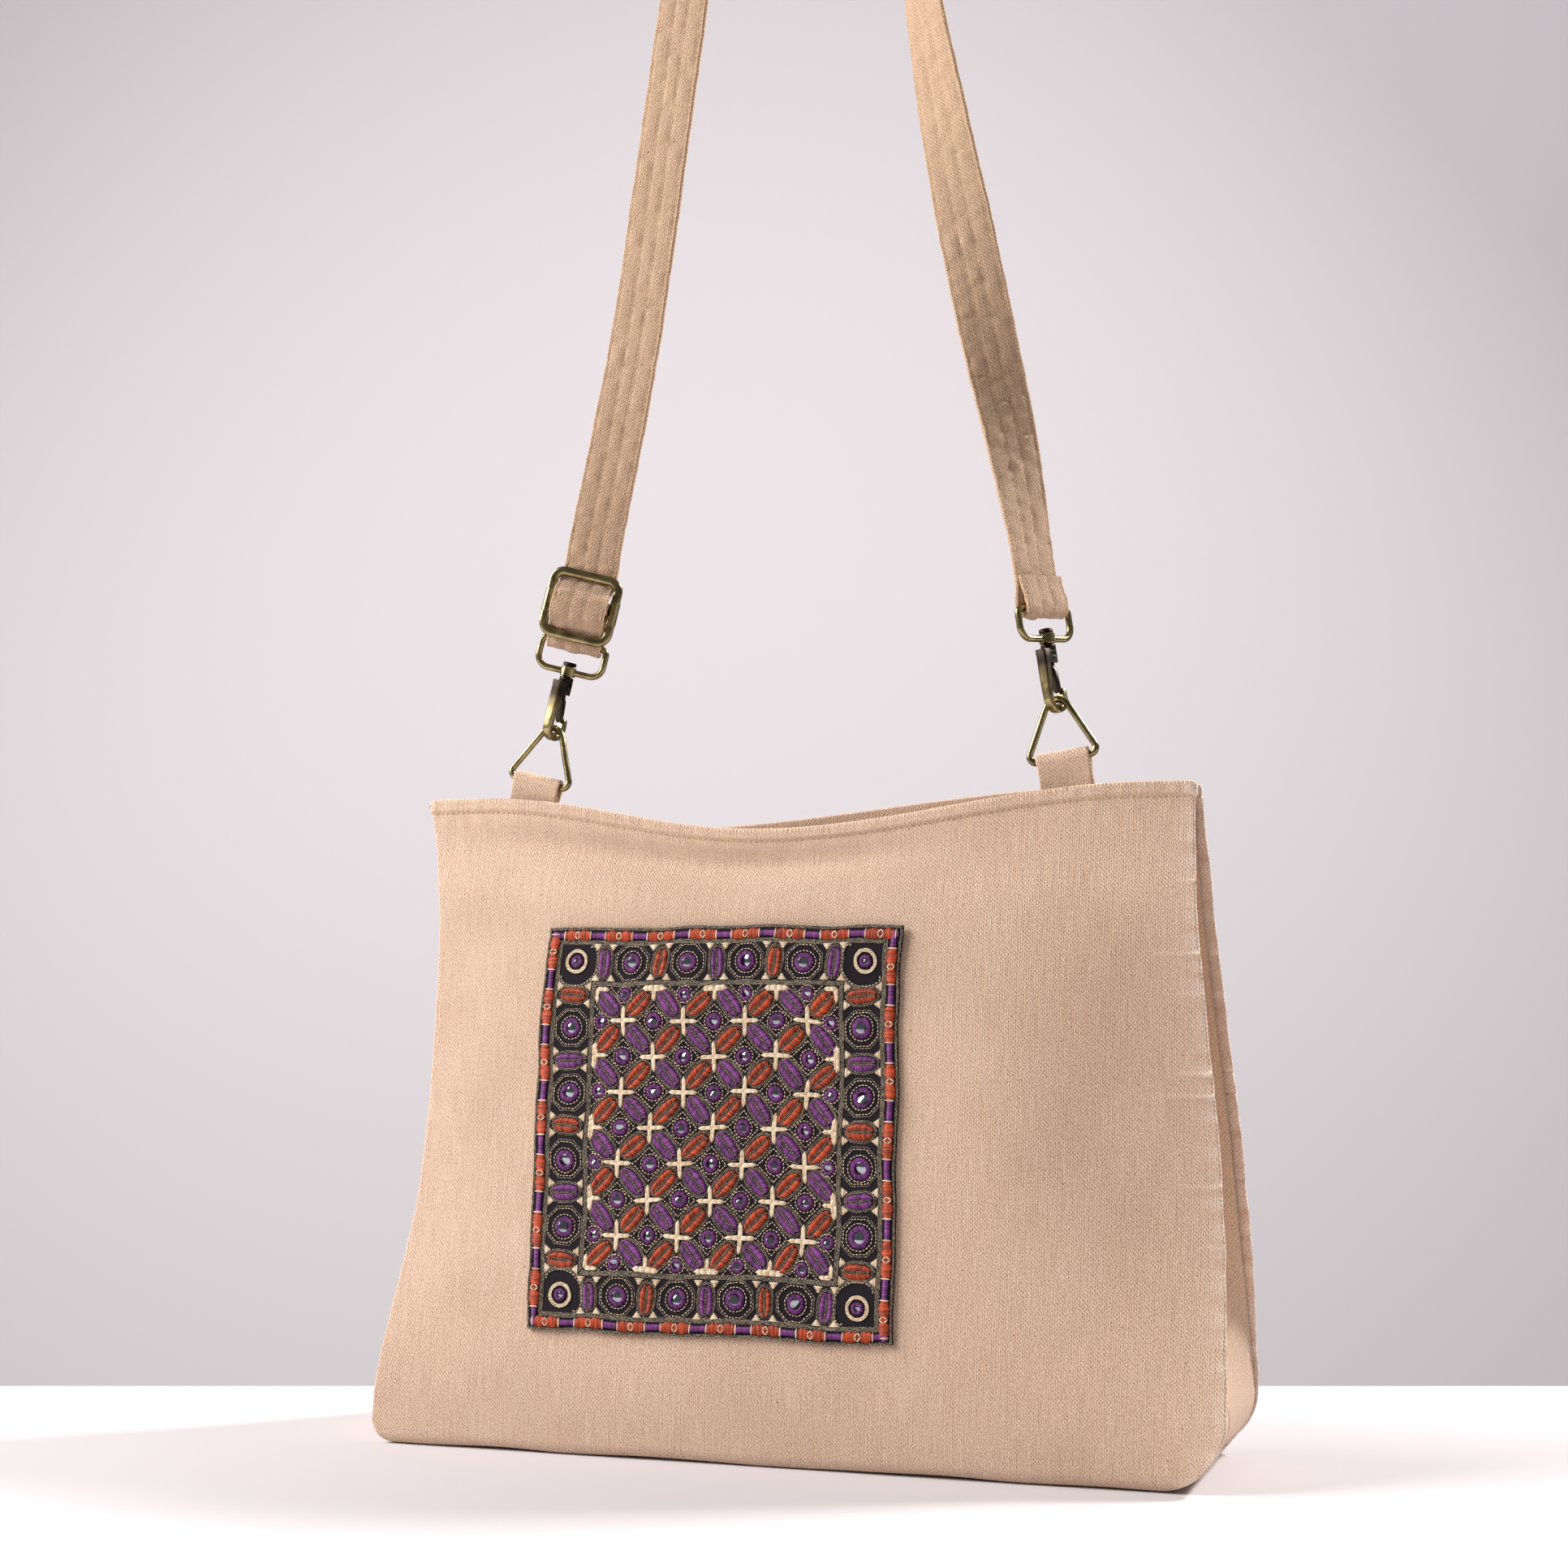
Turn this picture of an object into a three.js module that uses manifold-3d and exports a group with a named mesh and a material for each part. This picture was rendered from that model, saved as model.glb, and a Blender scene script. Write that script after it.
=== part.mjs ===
// Embroidered sling bag: twill body, mirror-work patch, brass snap hooks and an adjustable strap.
// Millimetres, +Z up, the front faces -Y. The origin is where the strap hangs over its support.

import * as THREE from 'three';
import { mergeVertices } from 'three/addons/utils/BufferGeometryUtils.js';
import Module from 'manifold-3d';

const wasm = await Module();
wasm.setup();

// Cloth
const CLOTH = 1.8;
const HEM = 3.0;
const HEM_HEIGHT = 7;
const HEM_STEP = 0.4;
const GAP = 0.3;

// Bag body: a row for each height above the base, with the side edges seen from the front,
// the depth from wall to wall at the edges, the extra depth at mid width, and the gusset's fold.
const RIM_HEIGHT = 290;
const BODY = [
  { z: 0, left: -188, right: 192, depth: 100, belly: 0, fold: 0.5 },
  { z: 30, left: -187, right: 192, depth: 94, belly: 6, fold: 8 },
  { z: 65, left: -183, right: 191, depth: 75, belly: 16, fold: 26 },
  { z: 100, left: -178.5, right: 189.5, depth: 57, belly: 24, fold: 38 },
  { z: 140, left: -175, right: 187, depth: 47, belly: 26, fold: 43 },
  { z: 190, left: -173, right: 182, depth: 41, belly: 23, fold: 45 },
  { z: 235, left: -173.5, right: 178, depth: 32, belly: 18, fold: 46 },
  { z: 260, left: -177, right: 177, depth: 23, belly: 15, fold: 47 },
  { z: 290, left: -183, right: 176.5, depth: 16, belly: 14, fold: 48 },
];
const CORNER_RADIUS = { left: 12, right: 30 };
const CORNER_STEPS = 6;
const SEAM_STEP = 3;
const SEAM_LIP = 1.5;
const SEAM_LIP_HEIGHT = 30;
const WALL_HEIGHTS = [48, 66, 86, 110, 140, 165, 190, 213, 235, 255, 272];
const WALL_COLUMNS = 16;
const SAG_START = 190;

// The rims sag between the tabs
const FRONT_RIM = { sag: 17.5, middle: -14, reach: 117 };
const BACK_RIM = { sag: 14, middle: -38, reach: 124 };

// Gusset section across the fold, and the base's plain columns
const FOLD_TIP = 1.4;
const FOLD_LEG_STEPS = 3;
const FOLD_TIP_SHARE = 0.7;
const BASE_COLUMNS = 4;
const BASE_ROWS = 8;

// Patch of mirror work
const PATCH = { x: -30, z: 141, width: 168, height: 176, thick: 1.5, gap: 0.5, steps: 8 };
const FIELD_CELLS = 8;
const FIELD = { width: 115, height: 124 };
const BORDER_MIRRORS = 4;
const BORDER = { width: 136, height: 145 };
const MIRROR = { radius: 2.6, sides: 8, proud: 0.7, sunk: 0.6 };

// Hardware sizes
const WIRE = 3;
const WIRE_SIDES = 8;
const RING = { base: 33, height: 33.5, bend: 3, apexBend: 5.5, tiltBack: 6 };
const EYE = { halfWidth: 15.6, height: 13.7, lowerBend: 5.5, upperBend: 2.7 };
const BOSS = { radius: 3.6, half: 2.3, bore: 2.3 };
const STUD = { radius: 1.9, head: 3.1, headTop: 4.4, clear: 0.35 };
const COLLAR = { radius: 3.3, bottom: 4.8 };
const HOOK = { drop: 27, clear: 3, inner: 3.6, bar: 3, thick: 3.6, tip: 4.4, spineTop: 11 };
const SHOULDER = { top: 4.6, bottom: 11.2, front: 6.6, back: 2.2, thick: 5 };
const GATE = { pivotBack: 0.2, pivotDown: 8.5, eye: 1.9, bore: 1.35, pin: 1, width: 2.2, tongue: 3.6 };
const GATE_END = { back: 2.2, down: 24 };
const TONGUE_START = 5;
const SLOT = { thick: 2.8, front: 2.1, top: 6.2 };
const SLIDER = { halfWidth: 15.8, halfHeight: 15.2, bend: 5, wire: 3.2, rise: 30.5, forward: 6.6 };
const SLEEVE = { bore: 1.9, radius: 2.4, half: 5.5 };
const ROUND_SIDES = 12;
const BEND_STEPS = 4;

// Tabs
const TAB = { width: 23.5, stem: 3.2, bottom: 24, waist: 6.5, hole: 2.1, loop: 3.7, y: -5.5 };

// How each side hangs: the ring's base bar, the lean towards the middle, and the turns about the hang line
const SIDES = [
  { name: 'left', x: -128.5, z: 297, lean: 14.5, eyeTurn: 12, hookTurn: -13 },
  { name: 'right', x: 119.5, z: 301, lean: -8, eyeTurn: 58, hookTurn: -25 },
];

// Strap
const STRAP = { width: 25.5, thick: 2.4 };
const APEX = { x: -4, z: 905, radius: 16.2, steps: 6, from: 170, to: 10, turn: -90 };
const LEG_STEPS = 13;
const LEFT_LEG = [
  { x: -101.7, z: 408, turn: 11 },
  { x: -92.7, z: 450, turn: 6 },
  { x: -81.7, z: 506, turn: 0 },
  { x: -67.7, z: 600, turn: -3 },
  { x: -57.7, z: 668, turn: -6 },
  { x: -38.7, z: 790, turn: -45 },
];
const RIGHT_LEG = [
  { x: 36.3, z: 790, turn: -74 },
  { x: 56.3, z: 655, turn: -41 },
  { x: 67.3, z: 590, turn: -18 },
  { x: 86.3, z: 493, turn: 18 },
  { x: 97.3, z: 441, turn: 38 },
];
// Strap stations beside the eyes: forward of the hang line and up from the eye's lower bar
const WRAP = { radius: 3.3, steps: 6 };
const LEFT_FLAP = { forward: 9.9, up: 29 };
const LEFT_RISE = [
  { forward: 2.7, up: 27.5 },
  { forward: -0.6, up: 23 },
  { forward: -3.1, up: 18.5 },
];
const LEFT_FRONT = [
  { forward: 3.3, up: 17.2 },
  { forward: 5.2, up: 20.2 },
  { forward: 9, up: 23 },
  { forward: 11.9, up: 26 },
  { forward: 12.7, up: 29 },
  { forward: 12.7, up: 32 },
  { forward: 10.8, up: 36 },
  { forward: 5.8, up: 40.5 },
  { forward: 3.3, up: 44 },
  { forward: 3.2, up: 48 },
];
const RIGHT_BACK = [
  { forward: -1.4, up: 40 },
  { forward: -1.4, up: 30 },
  { forward: -1.5, up: 24 },
  { forward: -2.8, up: 18.5 },
];
const RIGHT_FLAP = [
  { forward: 2.8, up: 18.5 },
  { forward: 1.5, up: 24 },
  { forward: 1.4, up: 28 },
];

// Materials
const FINISH = {
  twill: { color: 0xe3bf98, roughness: 0.92, metalness: 0 },
  patch: { color: 0x4a2430, roughness: 0.85, metalness: 0 },
  brass: { color: 0x8d7a4c, roughness: 0.38, metalness: 1 },
  blackened: { color: 0x3a3330, roughness: 0.45, metalness: 1 },
};

// Small helpers
const radians = THREE.MathUtils.degToRad;
const clamp = THREE.MathUtils.clamp;
const lerp = THREE.MathUtils.lerp;
const point = (x, y, z) => new THREE.Vector3(x, y, z);
const range = (count) => Array.from({ length: count }, (_, i) => i);

// Closed geometry from points and triangles, turned so that its faces point out
function closedGeometry(points, triangles) {
  const volume = triangles.reduce((sum, [a, b, c]) => {
    const cross = new THREE.Vector3().crossVectors(points[b], points[c]);
    return sum + points[a].dot(cross);
  }, 0);
  const outward = volume < 0 ? triangles.map(([a, b, c]) => [a, c, b]) : triangles;
  const geometry = new THREE.BufferGeometry();
  const positions = points.flatMap((p) => p.toArray());
  geometry.setAttribute('position', new THREE.Float32BufferAttribute(positions, 3));
  geometry.setIndex(outward.flat());
  geometry.computeVertexNormals();
  return geometry;
}

// A cloth wall between two grids of points, rows by columns, closed along its four edges
function wall(outer, inner) {
  const rows = outer.length;
  const columns = outer[0].length;
  const triangles = [];
  const at = (side, row, column) => (side * rows + row) * columns + column;
  const quad = (a, b, c, d) => triangles.push([a, b, c], [a, c, d]);
  for (const row of range(rows - 1)) {
    for (const column of range(columns - 1)) {
      quad(at(0, row, column), at(0, row, column + 1), at(0, row + 1, column + 1), at(0, row + 1, column));
      quad(at(1, row, column), at(1, row + 1, column), at(1, row + 1, column + 1), at(1, row, column + 1));
    }
    const last = columns - 1;
    quad(at(0, row, 0), at(0, row + 1, 0), at(1, row + 1, 0), at(1, row, 0));
    quad(at(0, row, last), at(1, row, last), at(1, row + 1, last), at(0, row + 1, last));
  }
  for (const column of range(columns - 1)) {
    const last = rows - 1;
    quad(at(0, 0, column), at(1, 0, column), at(1, 0, column + 1), at(0, 0, column + 1));
    quad(at(0, last, column), at(0, last, column + 1), at(1, last, column + 1), at(1, last, column));
  }
  return closedGeometry([...outer.flat(), ...inner.flat()], triangles);
}

// A bar skinned through convex rings of points, closed on itself or capped at both ends
function bar(rings, loop) {
  const around = rings[0].length;
  const triangles = [];
  const spans = loop ? rings.length : rings.length - 1;
  for (const ring of range(spans)) {
    const here = ring * around;
    const next = ((ring + 1) % rings.length) * around;
    for (const k of range(around)) {
      const after = (k + 1) % around;
      triangles.push([here + k, here + after, next + after], [here + k, next + after, next + k]);
    }
  }
  if (!loop) {
    const end = (rings.length - 1) * around;
    for (const k of range(around - 2)) {
      triangles.push([0, k + 2, k + 1], [end, end + k + 1, end + k + 2]);
    }
  }
  return closedGeometry(rings.flat(), triangles);
}

// Points round a flat polygon with each corner bent to its own radius, in the XZ plane
function bentOutline(corners) {
  const points = [];
  corners.forEach((corner, i) => {
    const here = new THREE.Vector2(corner.x, corner.z);
    const before = corners.at(i - 1);
    const after = corners[(i + 1) % corners.length];
    const back = new THREE.Vector2(before.x, before.z).sub(here).normalize();
    const ahead = new THREE.Vector2(after.x, after.z).sub(here).normalize();
    const half = back.angleTo(ahead) / 2;
    const middle = back.clone().add(ahead).normalize();
    const centre = here.clone().addScaledVector(middle, corner.bend / Math.sin(half));
    const first = here.clone().addScaledVector(back, corner.bend / Math.tan(half)).sub(centre);
    const last = here.clone().addScaledVector(ahead, corner.bend / Math.tan(half)).sub(centre);
    const sweep = Math.atan2(first.cross(last), first.dot(last));
    for (const step of range(BEND_STEPS + 1)) {
      const turned = first.clone().rotateAround(new THREE.Vector2(), (sweep * step) / BEND_STEPS);
      points.push(point(centre.x + turned.x, 0, centre.y + turned.y));
    }
  });
  return points;
}

// A round wire bent along a flat closed outline
function wireLoop(outline, diameter) {
  const rings = outline.map((here, i) => {
    const before = outline.at(i - 1);
    const after = outline[(i + 1) % outline.length];
    const back = here.clone().sub(before).normalize();
    const ahead = after.clone().sub(here).normalize();
    const along = back.clone().add(ahead).normalize();
    const sideways = new THREE.Vector3().crossVectors(along, point(0, 1, 0));
    const mitre = 1 / along.dot(ahead);
    return range(WIRE_SIDES).map((k) => {
      const angle = (2 * Math.PI * (k + 0.5)) / WIRE_SIDES;
      const out = (Math.cos(angle) * mitre * diameter) / 2;
      const across = (Math.sin(angle) * diameter) / 2;
      return here.clone().addScaledVector(sideways, out).add(point(0, across, 0));
    });
  });
  return bar(rings, true);
}

// Upright cylinder between two heights
function post(radius, bottom, top, sides = ROUND_SIDES) {
  const geometry = new THREE.CylinderGeometry(radius, radius, top - bottom, sides);
  return geometry.rotateX(Math.PI / 2).translate(0, 0, (bottom + top) / 2);
}

// Flat profile of (y, z) points pushed out along X to both sides of the middle plane
function slab(shape, thick) {
  const geometry = new THREE.ExtrudeGeometry(shape, {
    depth: thick,
    bevelEnabled: false,
    curveSegments: BEND_STEPS * 2,
  });
  return geometry.translate(0, 0, -thick / 2).applyMatrix4(
    new THREE.Matrix4().makeBasis(point(0, 1, 0), point(0, 0, 1), point(1, 0, 0)),
  );
}

// Boolean work on closed geometries
function solid(geometry) {
  const bare = new THREE.BufferGeometry();
  bare.setAttribute('position', geometry.getAttribute('position').clone());
  bare.setIndex(geometry.getIndex());
  const merged = mergeVertices(bare);
  return new wasm.Manifold(new wasm.Mesh({
    numProp: 3,
    vertProperties: new Float32Array(merged.getAttribute('position').array),
    triVerts: new Uint32Array(merged.getIndex().array),
  }));
}

function geometryOf(manifold) {
  const mesh = manifold.getMesh();
  const geometry = new THREE.BufferGeometry();
  geometry.setAttribute('position', new THREE.BufferAttribute(mesh.vertProperties, 3));
  geometry.setIndex(new THREE.BufferAttribute(mesh.triVerts, 1));
  geometry.computeVertexNormals();
  return geometry;
}

const joined = (geometries) => geometries.map(solid).reduce((whole, piece) => whole.add(piece));

function node(name, geometry, finish) {
  const mesh = new THREE.Mesh(geometry, new THREE.MeshStandardMaterial(FINISH[finish]));
  mesh.name = name;
  return mesh;
}

// Body shape at a height: table columns joined by an eased cubic through the rows
const columnCurve = (column) => {
  const heights = BODY.map((row) => row.z);
  const values = BODY.map((row) => row[column]);
  const slopes = BODY.map((_, i) => {
    const low = Math.max(i - 1, 0);
    const high = Math.min(i + 1, BODY.length - 1);
    return (values[high] - values[low]) / (heights[high] - heights[low]);
  });
  return (z) => {
    const row = clamp(heights.findLastIndex((height) => height <= z), 0, BODY.length - 2);
    const span = heights[row + 1] - heights[row];
    const t = clamp((z - heights[row]) / span, 0, 1);
    const eased = t * t * (3 - 2 * t);
    const pull = t * (1 - t) * ((1 - t) * slopes[row] - t * slopes[row + 1]) * span;
    return lerp(values[row], values[row + 1], eased) + pull;
  };
};
const leftEdge = columnCurve('left');
const rightEdge = columnCurve('right');
const edgeDepth = columnCurve('depth');
const bellyDepth = columnCurve('belly');
const foldDepth = columnCurve('fold');

// How far a rounded lower corner pulls an edge in
const cornerPull = (radius, z) => {
  const below = Math.max(radius - z, 0);
  return radius - Math.sqrt(radius * radius - below * below);
};

// Half the depth of the body at a place on its front
function halfDepth(x, z) {
  const left = leftEdge(z);
  const right = rightEdge(z);
  const offCentre = clamp((2 * x - left - right) / (right - left), -1, 1);
  return (edgeDepth(z) + bellyDepth(z) * (1 - offCentre * offCentre)) / 2;
}

// How far a rim hangs below its ends
function rimSag(rim, x) {
  const share = clamp((x - rim.middle) / rim.reach, -1, 1);
  return rim.sag * (1 - share * share);
}

// Heights shared by the walls and the strips, bottom to top
const cornerHeights = range(CORNER_STEPS + 1).map((step) => {
  const angle = (Math.PI / 2) * (1 - step / CORNER_STEPS);
  return CORNER_RADIUS.right * (1 - Math.sin(angle));
});
const HEM_FOOT = RIM_HEIGHT - HEM_HEIGHT;
const HEIGHTS = [...cornerHeights, ...WALL_HEIGHTS, HEM_FOOT - HEM_STEP, HEM_FOOT, RIM_HEIGHT];
const wallThickness = (z) => (z > HEM_FOOT - HEM_STEP / 2 ? HEM : CLOTH);

// Front wall (side -1) or back wall (side +1)
function panel(side, rim) {
  const grid = (inset) => HEIGHTS.map((z) => {
    const left = leftEdge(z) + cornerPull(CORNER_RADIUS.left, z);
    const right = rightEdge(z) - cornerPull(CORNER_RADIUS.right, z);
    const sagShare = clamp((z - SAG_START) / (RIM_HEIGHT - SAG_START), 0, 1);
    return range(WALL_COLUMNS + 1).map((column) => {
      const x = lerp(left, right, column / WALL_COLUMNS);
      const y = side * (halfDepth(x, z) - inset * wallThickness(z));
      return point(x, y, z - rimSag(rim, x) * sagShare);
    });
  });
  return wall(grid(0), grid(1));
}

// Stations along a side strip, from the rim down round the corner to the base seam
function stripStations(side) {
  const right = side === 'right';
  const radius = CORNER_RADIUS[side];
  const edge = right ? rightEdge : leftEdge;
  const inward = right ? -1 : 1;
  const upright = HEIGHTS.filter((z) => z > radius).reverse().map((z) => {
    const lip = SEAM_LIP * clamp(z / SEAM_LIP_HEIGHT, 0, 1);
    return { x: edge(z) + inward * lip, z, inX: inward, inZ: 0 };
  });
  const bend = range(SEAM_STEP + 1).map((step) => {
    const angle = (Math.PI / 2) * (step / CORNER_STEPS);
    const z = radius * (1 - Math.sin(angle));
    const lip = SEAM_LIP * clamp(z / SEAM_LIP_HEIGHT, 0, 1);
    const x = edge(z) + inward * (radius * (1 - Math.cos(angle)) + lip);
    return { x, z, inX: inward * Math.cos(angle), inZ: Math.sin(angle) };
  });
  return [...upright, ...bend];
}

// Section across a folded strip: how far in, and where across the depth, at mid thickness
function foldSection(half, depth) {
  const tip = Math.min(FOLD_TIP, depth / 2);
  const leg = range(FOLD_LEG_STEPS + 1).map((step) => ({
    inward: ((depth - tip) * step) / FOLD_LEG_STEPS,
    y: lerp(half, tip, step / FOLD_LEG_STEPS),
  }));
  const shoulder = { inward: depth - tip * (1 - FOLD_TIP_SHARE), y: tip * FOLD_TIP_SHARE };
  const near = [...leg, shoulder];
  const far = near.map((spot) => ({ inward: spot.inward, y: -spot.y })).reverse();
  return [...near, { inward: depth, y: 0 }, ...far];
}

// Offsets a section to one face of the cloth
function sectionFace(section, offset) {
  return section.map((spot, i) => {
    const before = section[Math.max(i - 1, 0)];
    const after = section[Math.min(i + 1, section.length - 1)];
    const along = new THREE.Vector2(after.inward - before.inward, after.y - before.y).normalize();
    return { inward: spot.inward - along.y * offset, y: spot.y + along.x * offset };
  });
}

function gusset(side) {
  const faces = stripStations(side).map((station) => {
    const reach = edgeDepth(station.z) / 2 - wallThickness(station.z) - GAP;
    const depth = foldDepth(station.z);
    const steep = depth / Math.hypot(depth, reach);
    const section = foldSection(reach - (CLOTH / 2) * steep, depth);
    const place = (spot) => point(
      station.x + station.inX * (spot.inward + CLOTH / 2),
      spot.y,
      station.z + station.inZ * (spot.inward + CLOTH / 2),
    );
    return {
      outer: sectionFace(section, -CLOTH / 2).map(place),
      inner: sectionFace(section, CLOTH / 2).map(place),
    };
  });
  return wall(faces.map((face) => face.outer), faces.map((face) => face.inner));
}

// Bottom piece: flat in the middle, turned up at both ends to meet the side strips
function base() {
  const bendOf = (side) => {
    const right = side === 'right';
    const inward = right ? -1 : 1;
    const radius = CORNER_RADIUS[side];
    const edge = right ? rightEdge : leftEdge;
    return range(CORNER_STEPS - SEAM_STEP + 1).map((step) => {
      const clearance = step === 0 ? GAP / radius : 0;
      const angle = (Math.PI / 2) * ((SEAM_STEP + step) / CORNER_STEPS) + clearance;
      const z = radius * (1 - Math.sin(angle));
      const lip = SEAM_LIP * clamp(z / SEAM_LIP_HEIGHT, 0, 1);
      const x = edge(z) + inward * (radius * (1 - Math.cos(angle)) + lip);
      return { x, z, inX: inward * Math.cos(angle), inZ: Math.sin(angle) };
    });
  };
  const leftBend = bendOf('left');
  const rightBend = bendOf('right').reverse();
  const flat = range(BASE_ROWS - 1).map((row) => ({
    x: lerp(leftBend.at(-1).x, rightBend[0].x, (row + 1) / BASE_ROWS),
    z: 0,
    inX: 0,
    inZ: 1,
  }));
  const stations = [...leftBend, ...flat, ...rightBend];
  const face = (thickness) => stations.map((station) => {
    const reach = edgeDepth(station.z) / 2 - CLOTH - GAP;
    return range(BASE_COLUMNS + 1).map((column) => point(
      station.x + station.inX * thickness,
      lerp(-reach, reach, column / BASE_COLUMNS),
      station.z + station.inZ * thickness,
    ));
  });
  return wall(face(0), face(CLOTH));
}

// Places on the front wall, a small way out from its face
const onFront = (x, z, out) => point(x, -halfDepth(x, z) - out, z);

// Centres of the patch's mirrors, from its middle: the field, the border rows and the corners
function mirrorCentres() {
  const places = [];
  const lines = range(FIELD_CELLS + 1);
  for (const row of lines) {
    for (const column of lines) {
      if ((row + column) % 2 === 1) {
        places.push({
          x: (column / FIELD_CELLS - 0.5) * FIELD.width,
          z: (row / FIELD_CELLS - 0.5) * FIELD.height,
        });
      }
    }
  }
  for (const spot of range(BORDER_MIRRORS + 2)) {
    const along = spot / (BORDER_MIRRORS + 1) - 0.5;
    const corner = spot === 0 || spot === BORDER_MIRRORS + 1;
    for (const edge of [-0.5, 0.5]) {
      places.push({ x: along * BORDER.width, z: edge * BORDER.height });
      if (!corner) {
        places.push({ x: edge * BORDER.width, z: along * BORDER.height });
      }
    }
  }
  return places;
}

function patch() {
  const grid = (out) => range(PATCH.steps + 1).map((row) => range(PATCH.steps + 1).map((column) => {
    const x = PATCH.x + (column / PATCH.steps - 0.5) * PATCH.width;
    const z = PATCH.z + (row / PATCH.steps - 0.5) * PATCH.height;
    return onFront(x, z, out);
  }));
  const cloth = wall(grid(PATCH.gap + PATCH.thick), grid(PATCH.gap));
  const mirrors = mirrorCentres().map((spot) => {
    const x = PATCH.x + spot.x;
    const z = PATCH.z + spot.z;
    const disc = post(MIRROR.radius, -MIRROR.sunk, MIRROR.proud, MIRROR.sides).rotateX(Math.PI / 2);
    const place = onFront(x, z, PATCH.gap + PATCH.thick);
    return disc.translate(place.x, place.y, place.z);
  });
  return geometryOf(joined([cloth, ...mirrors]));
}

// Tab: a doubled strip whose top makes a loop for the ring's base bar, drawn as (y, z)
function tab() {
  const half = TAB.stem / 2;
  const outline = new THREE.Shape();
  outline.moveTo(-half, -TAB.bottom);
  outline.lineTo(half, -TAB.bottom);
  outline.lineTo(half, -TAB.waist);
  outline.absarc(0, 0, TAB.loop, 0, Math.PI, false);
  outline.lineTo(-half, -TAB.waist);
  outline.closePath();
  const hole = new THREE.Path();
  hole.absarc(0, 0, TAB.hole, 0, Math.PI, false);
  hole.lineTo(0, -TAB.waist + CLOTH);
  hole.closePath();
  outline.holes.push(hole);
  return slab(outline, TAB.width);
}

const triangleRing = () => wireLoop(bentOutline([
  { x: -RING.base / 2, z: 0, bend: RING.bend },
  { x: RING.base / 2, z: 0, bend: RING.bend },
  { x: 0, z: RING.height, bend: RING.apexBend },
]), WIRE);

// Height of the ring's bent apex above its base bar, at mid wire
const apexHalf = Math.atan(RING.base / 2 / RING.height);
const RING_REACH = RING.height - RING.apexBend * (1 / Math.sin(apexHalf) - 1);

const roundedLoop = (halfWidth, bottom, top, bends, diameter) => wireLoop(bentOutline([
  { x: -halfWidth, z: bottom, bend: bends.lower },
  { x: halfWidth, z: bottom, bend: bends.lower },
  { x: halfWidth, z: top, bend: bends.upper },
  { x: -halfWidth, z: top, bend: bends.upper },
]), diameter);

function swivelEye() {
  const bends = { lower: EYE.lowerBend, upper: EYE.upperBend };
  const loop = roundedLoop(EYE.halfWidth, 0, EYE.height, bends, WIRE);
  const bore = solid(post(BOSS.bore, -BOSS.half * 2, BOSS.half * 2));
  return geometryOf(joined([loop, post(BOSS.radius, -BOSS.half, BOSS.half)]).subtract(bore));
}

// Hook: stud, collar, shoulder with a slot for the gate, and a bar bent under the ring
function hook() {
  const centre = -HOOK.drop - HOOK.clear + HOOK.inner;
  const bend = HOOK.inner + HOOK.bar / 2;
  const route = [point(0, -bend, -HOOK.spineTop + HOOK.bar), point(0, -bend, centre)];
  for (const step of range(2 * BEND_STEPS)) {
    const angle = Math.PI * (1 + (step + 1) / (2 * BEND_STEPS));
    route.push(point(0, bend * Math.cos(angle), centre + bend * Math.sin(angle)));
  }
  route.push(point(0, bend, centre + HOOK.tip));
  const rings = route.map((here, i) => {
    const before = route[Math.max(i - 1, 0)];
    const after = route[Math.min(i + 1, route.length - 1)];
    const along = after.clone().sub(before).normalize();
    const radial = new THREE.Vector3().crossVectors(along, point(1, 0, 0));
    return range(WIRE_SIDES).map((k) => {
      const angle = (2 * Math.PI * (k + 0.5)) / WIRE_SIDES;
      const flat = 1 / Math.cos(Math.PI / WIRE_SIDES);
      const across = (Math.cos(angle) * flat * HOOK.thick) / 2;
      const deep = (Math.sin(angle) * flat * HOOK.bar) / 2;
      return here.clone().add(point(across, 0, 0)).addScaledVector(radial, deep);
    });
  });
  const block = new THREE.BoxGeometry(
    SHOULDER.thick,
    SHOULDER.front + SHOULDER.back,
    SHOULDER.bottom - SHOULDER.top,
  ).translate(0, (SHOULDER.back - SHOULDER.front) / 2, -(SHOULDER.top + SHOULDER.bottom) / 2);
  const slotDepth = SHOULDER.back + SLOT.front + GAP;
  const slotHeight = SHOULDER.bottom + GAP - SLOT.top;
  const slot = new THREE.BoxGeometry(SLOT.thick, slotDepth, slotHeight)
    .translate(0, SHOULDER.back + GAP - slotDepth / 2, -SLOT.top - slotHeight / 2);
  const pin = post(GATE.pin, -SHOULDER.thick / 2, SHOULDER.thick / 2)
    .rotateY(Math.PI / 2)
    .translate(0, GATE.pivotBack, -GATE.pivotDown);
  const body = joined([
    post(STUD.radius, -COLLAR.bottom, STUD.headTop),
    post(STUD.head, BOSS.half + STUD.clear, STUD.headTop),
    post(COLLAR.radius, -COLLAR.bottom, -BOSS.half - STUD.clear),
    block,
    bar(rings, false),
  ]);
  return geometryOf(body.subtract(solid(slot)).add(solid(pin)));
}

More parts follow.
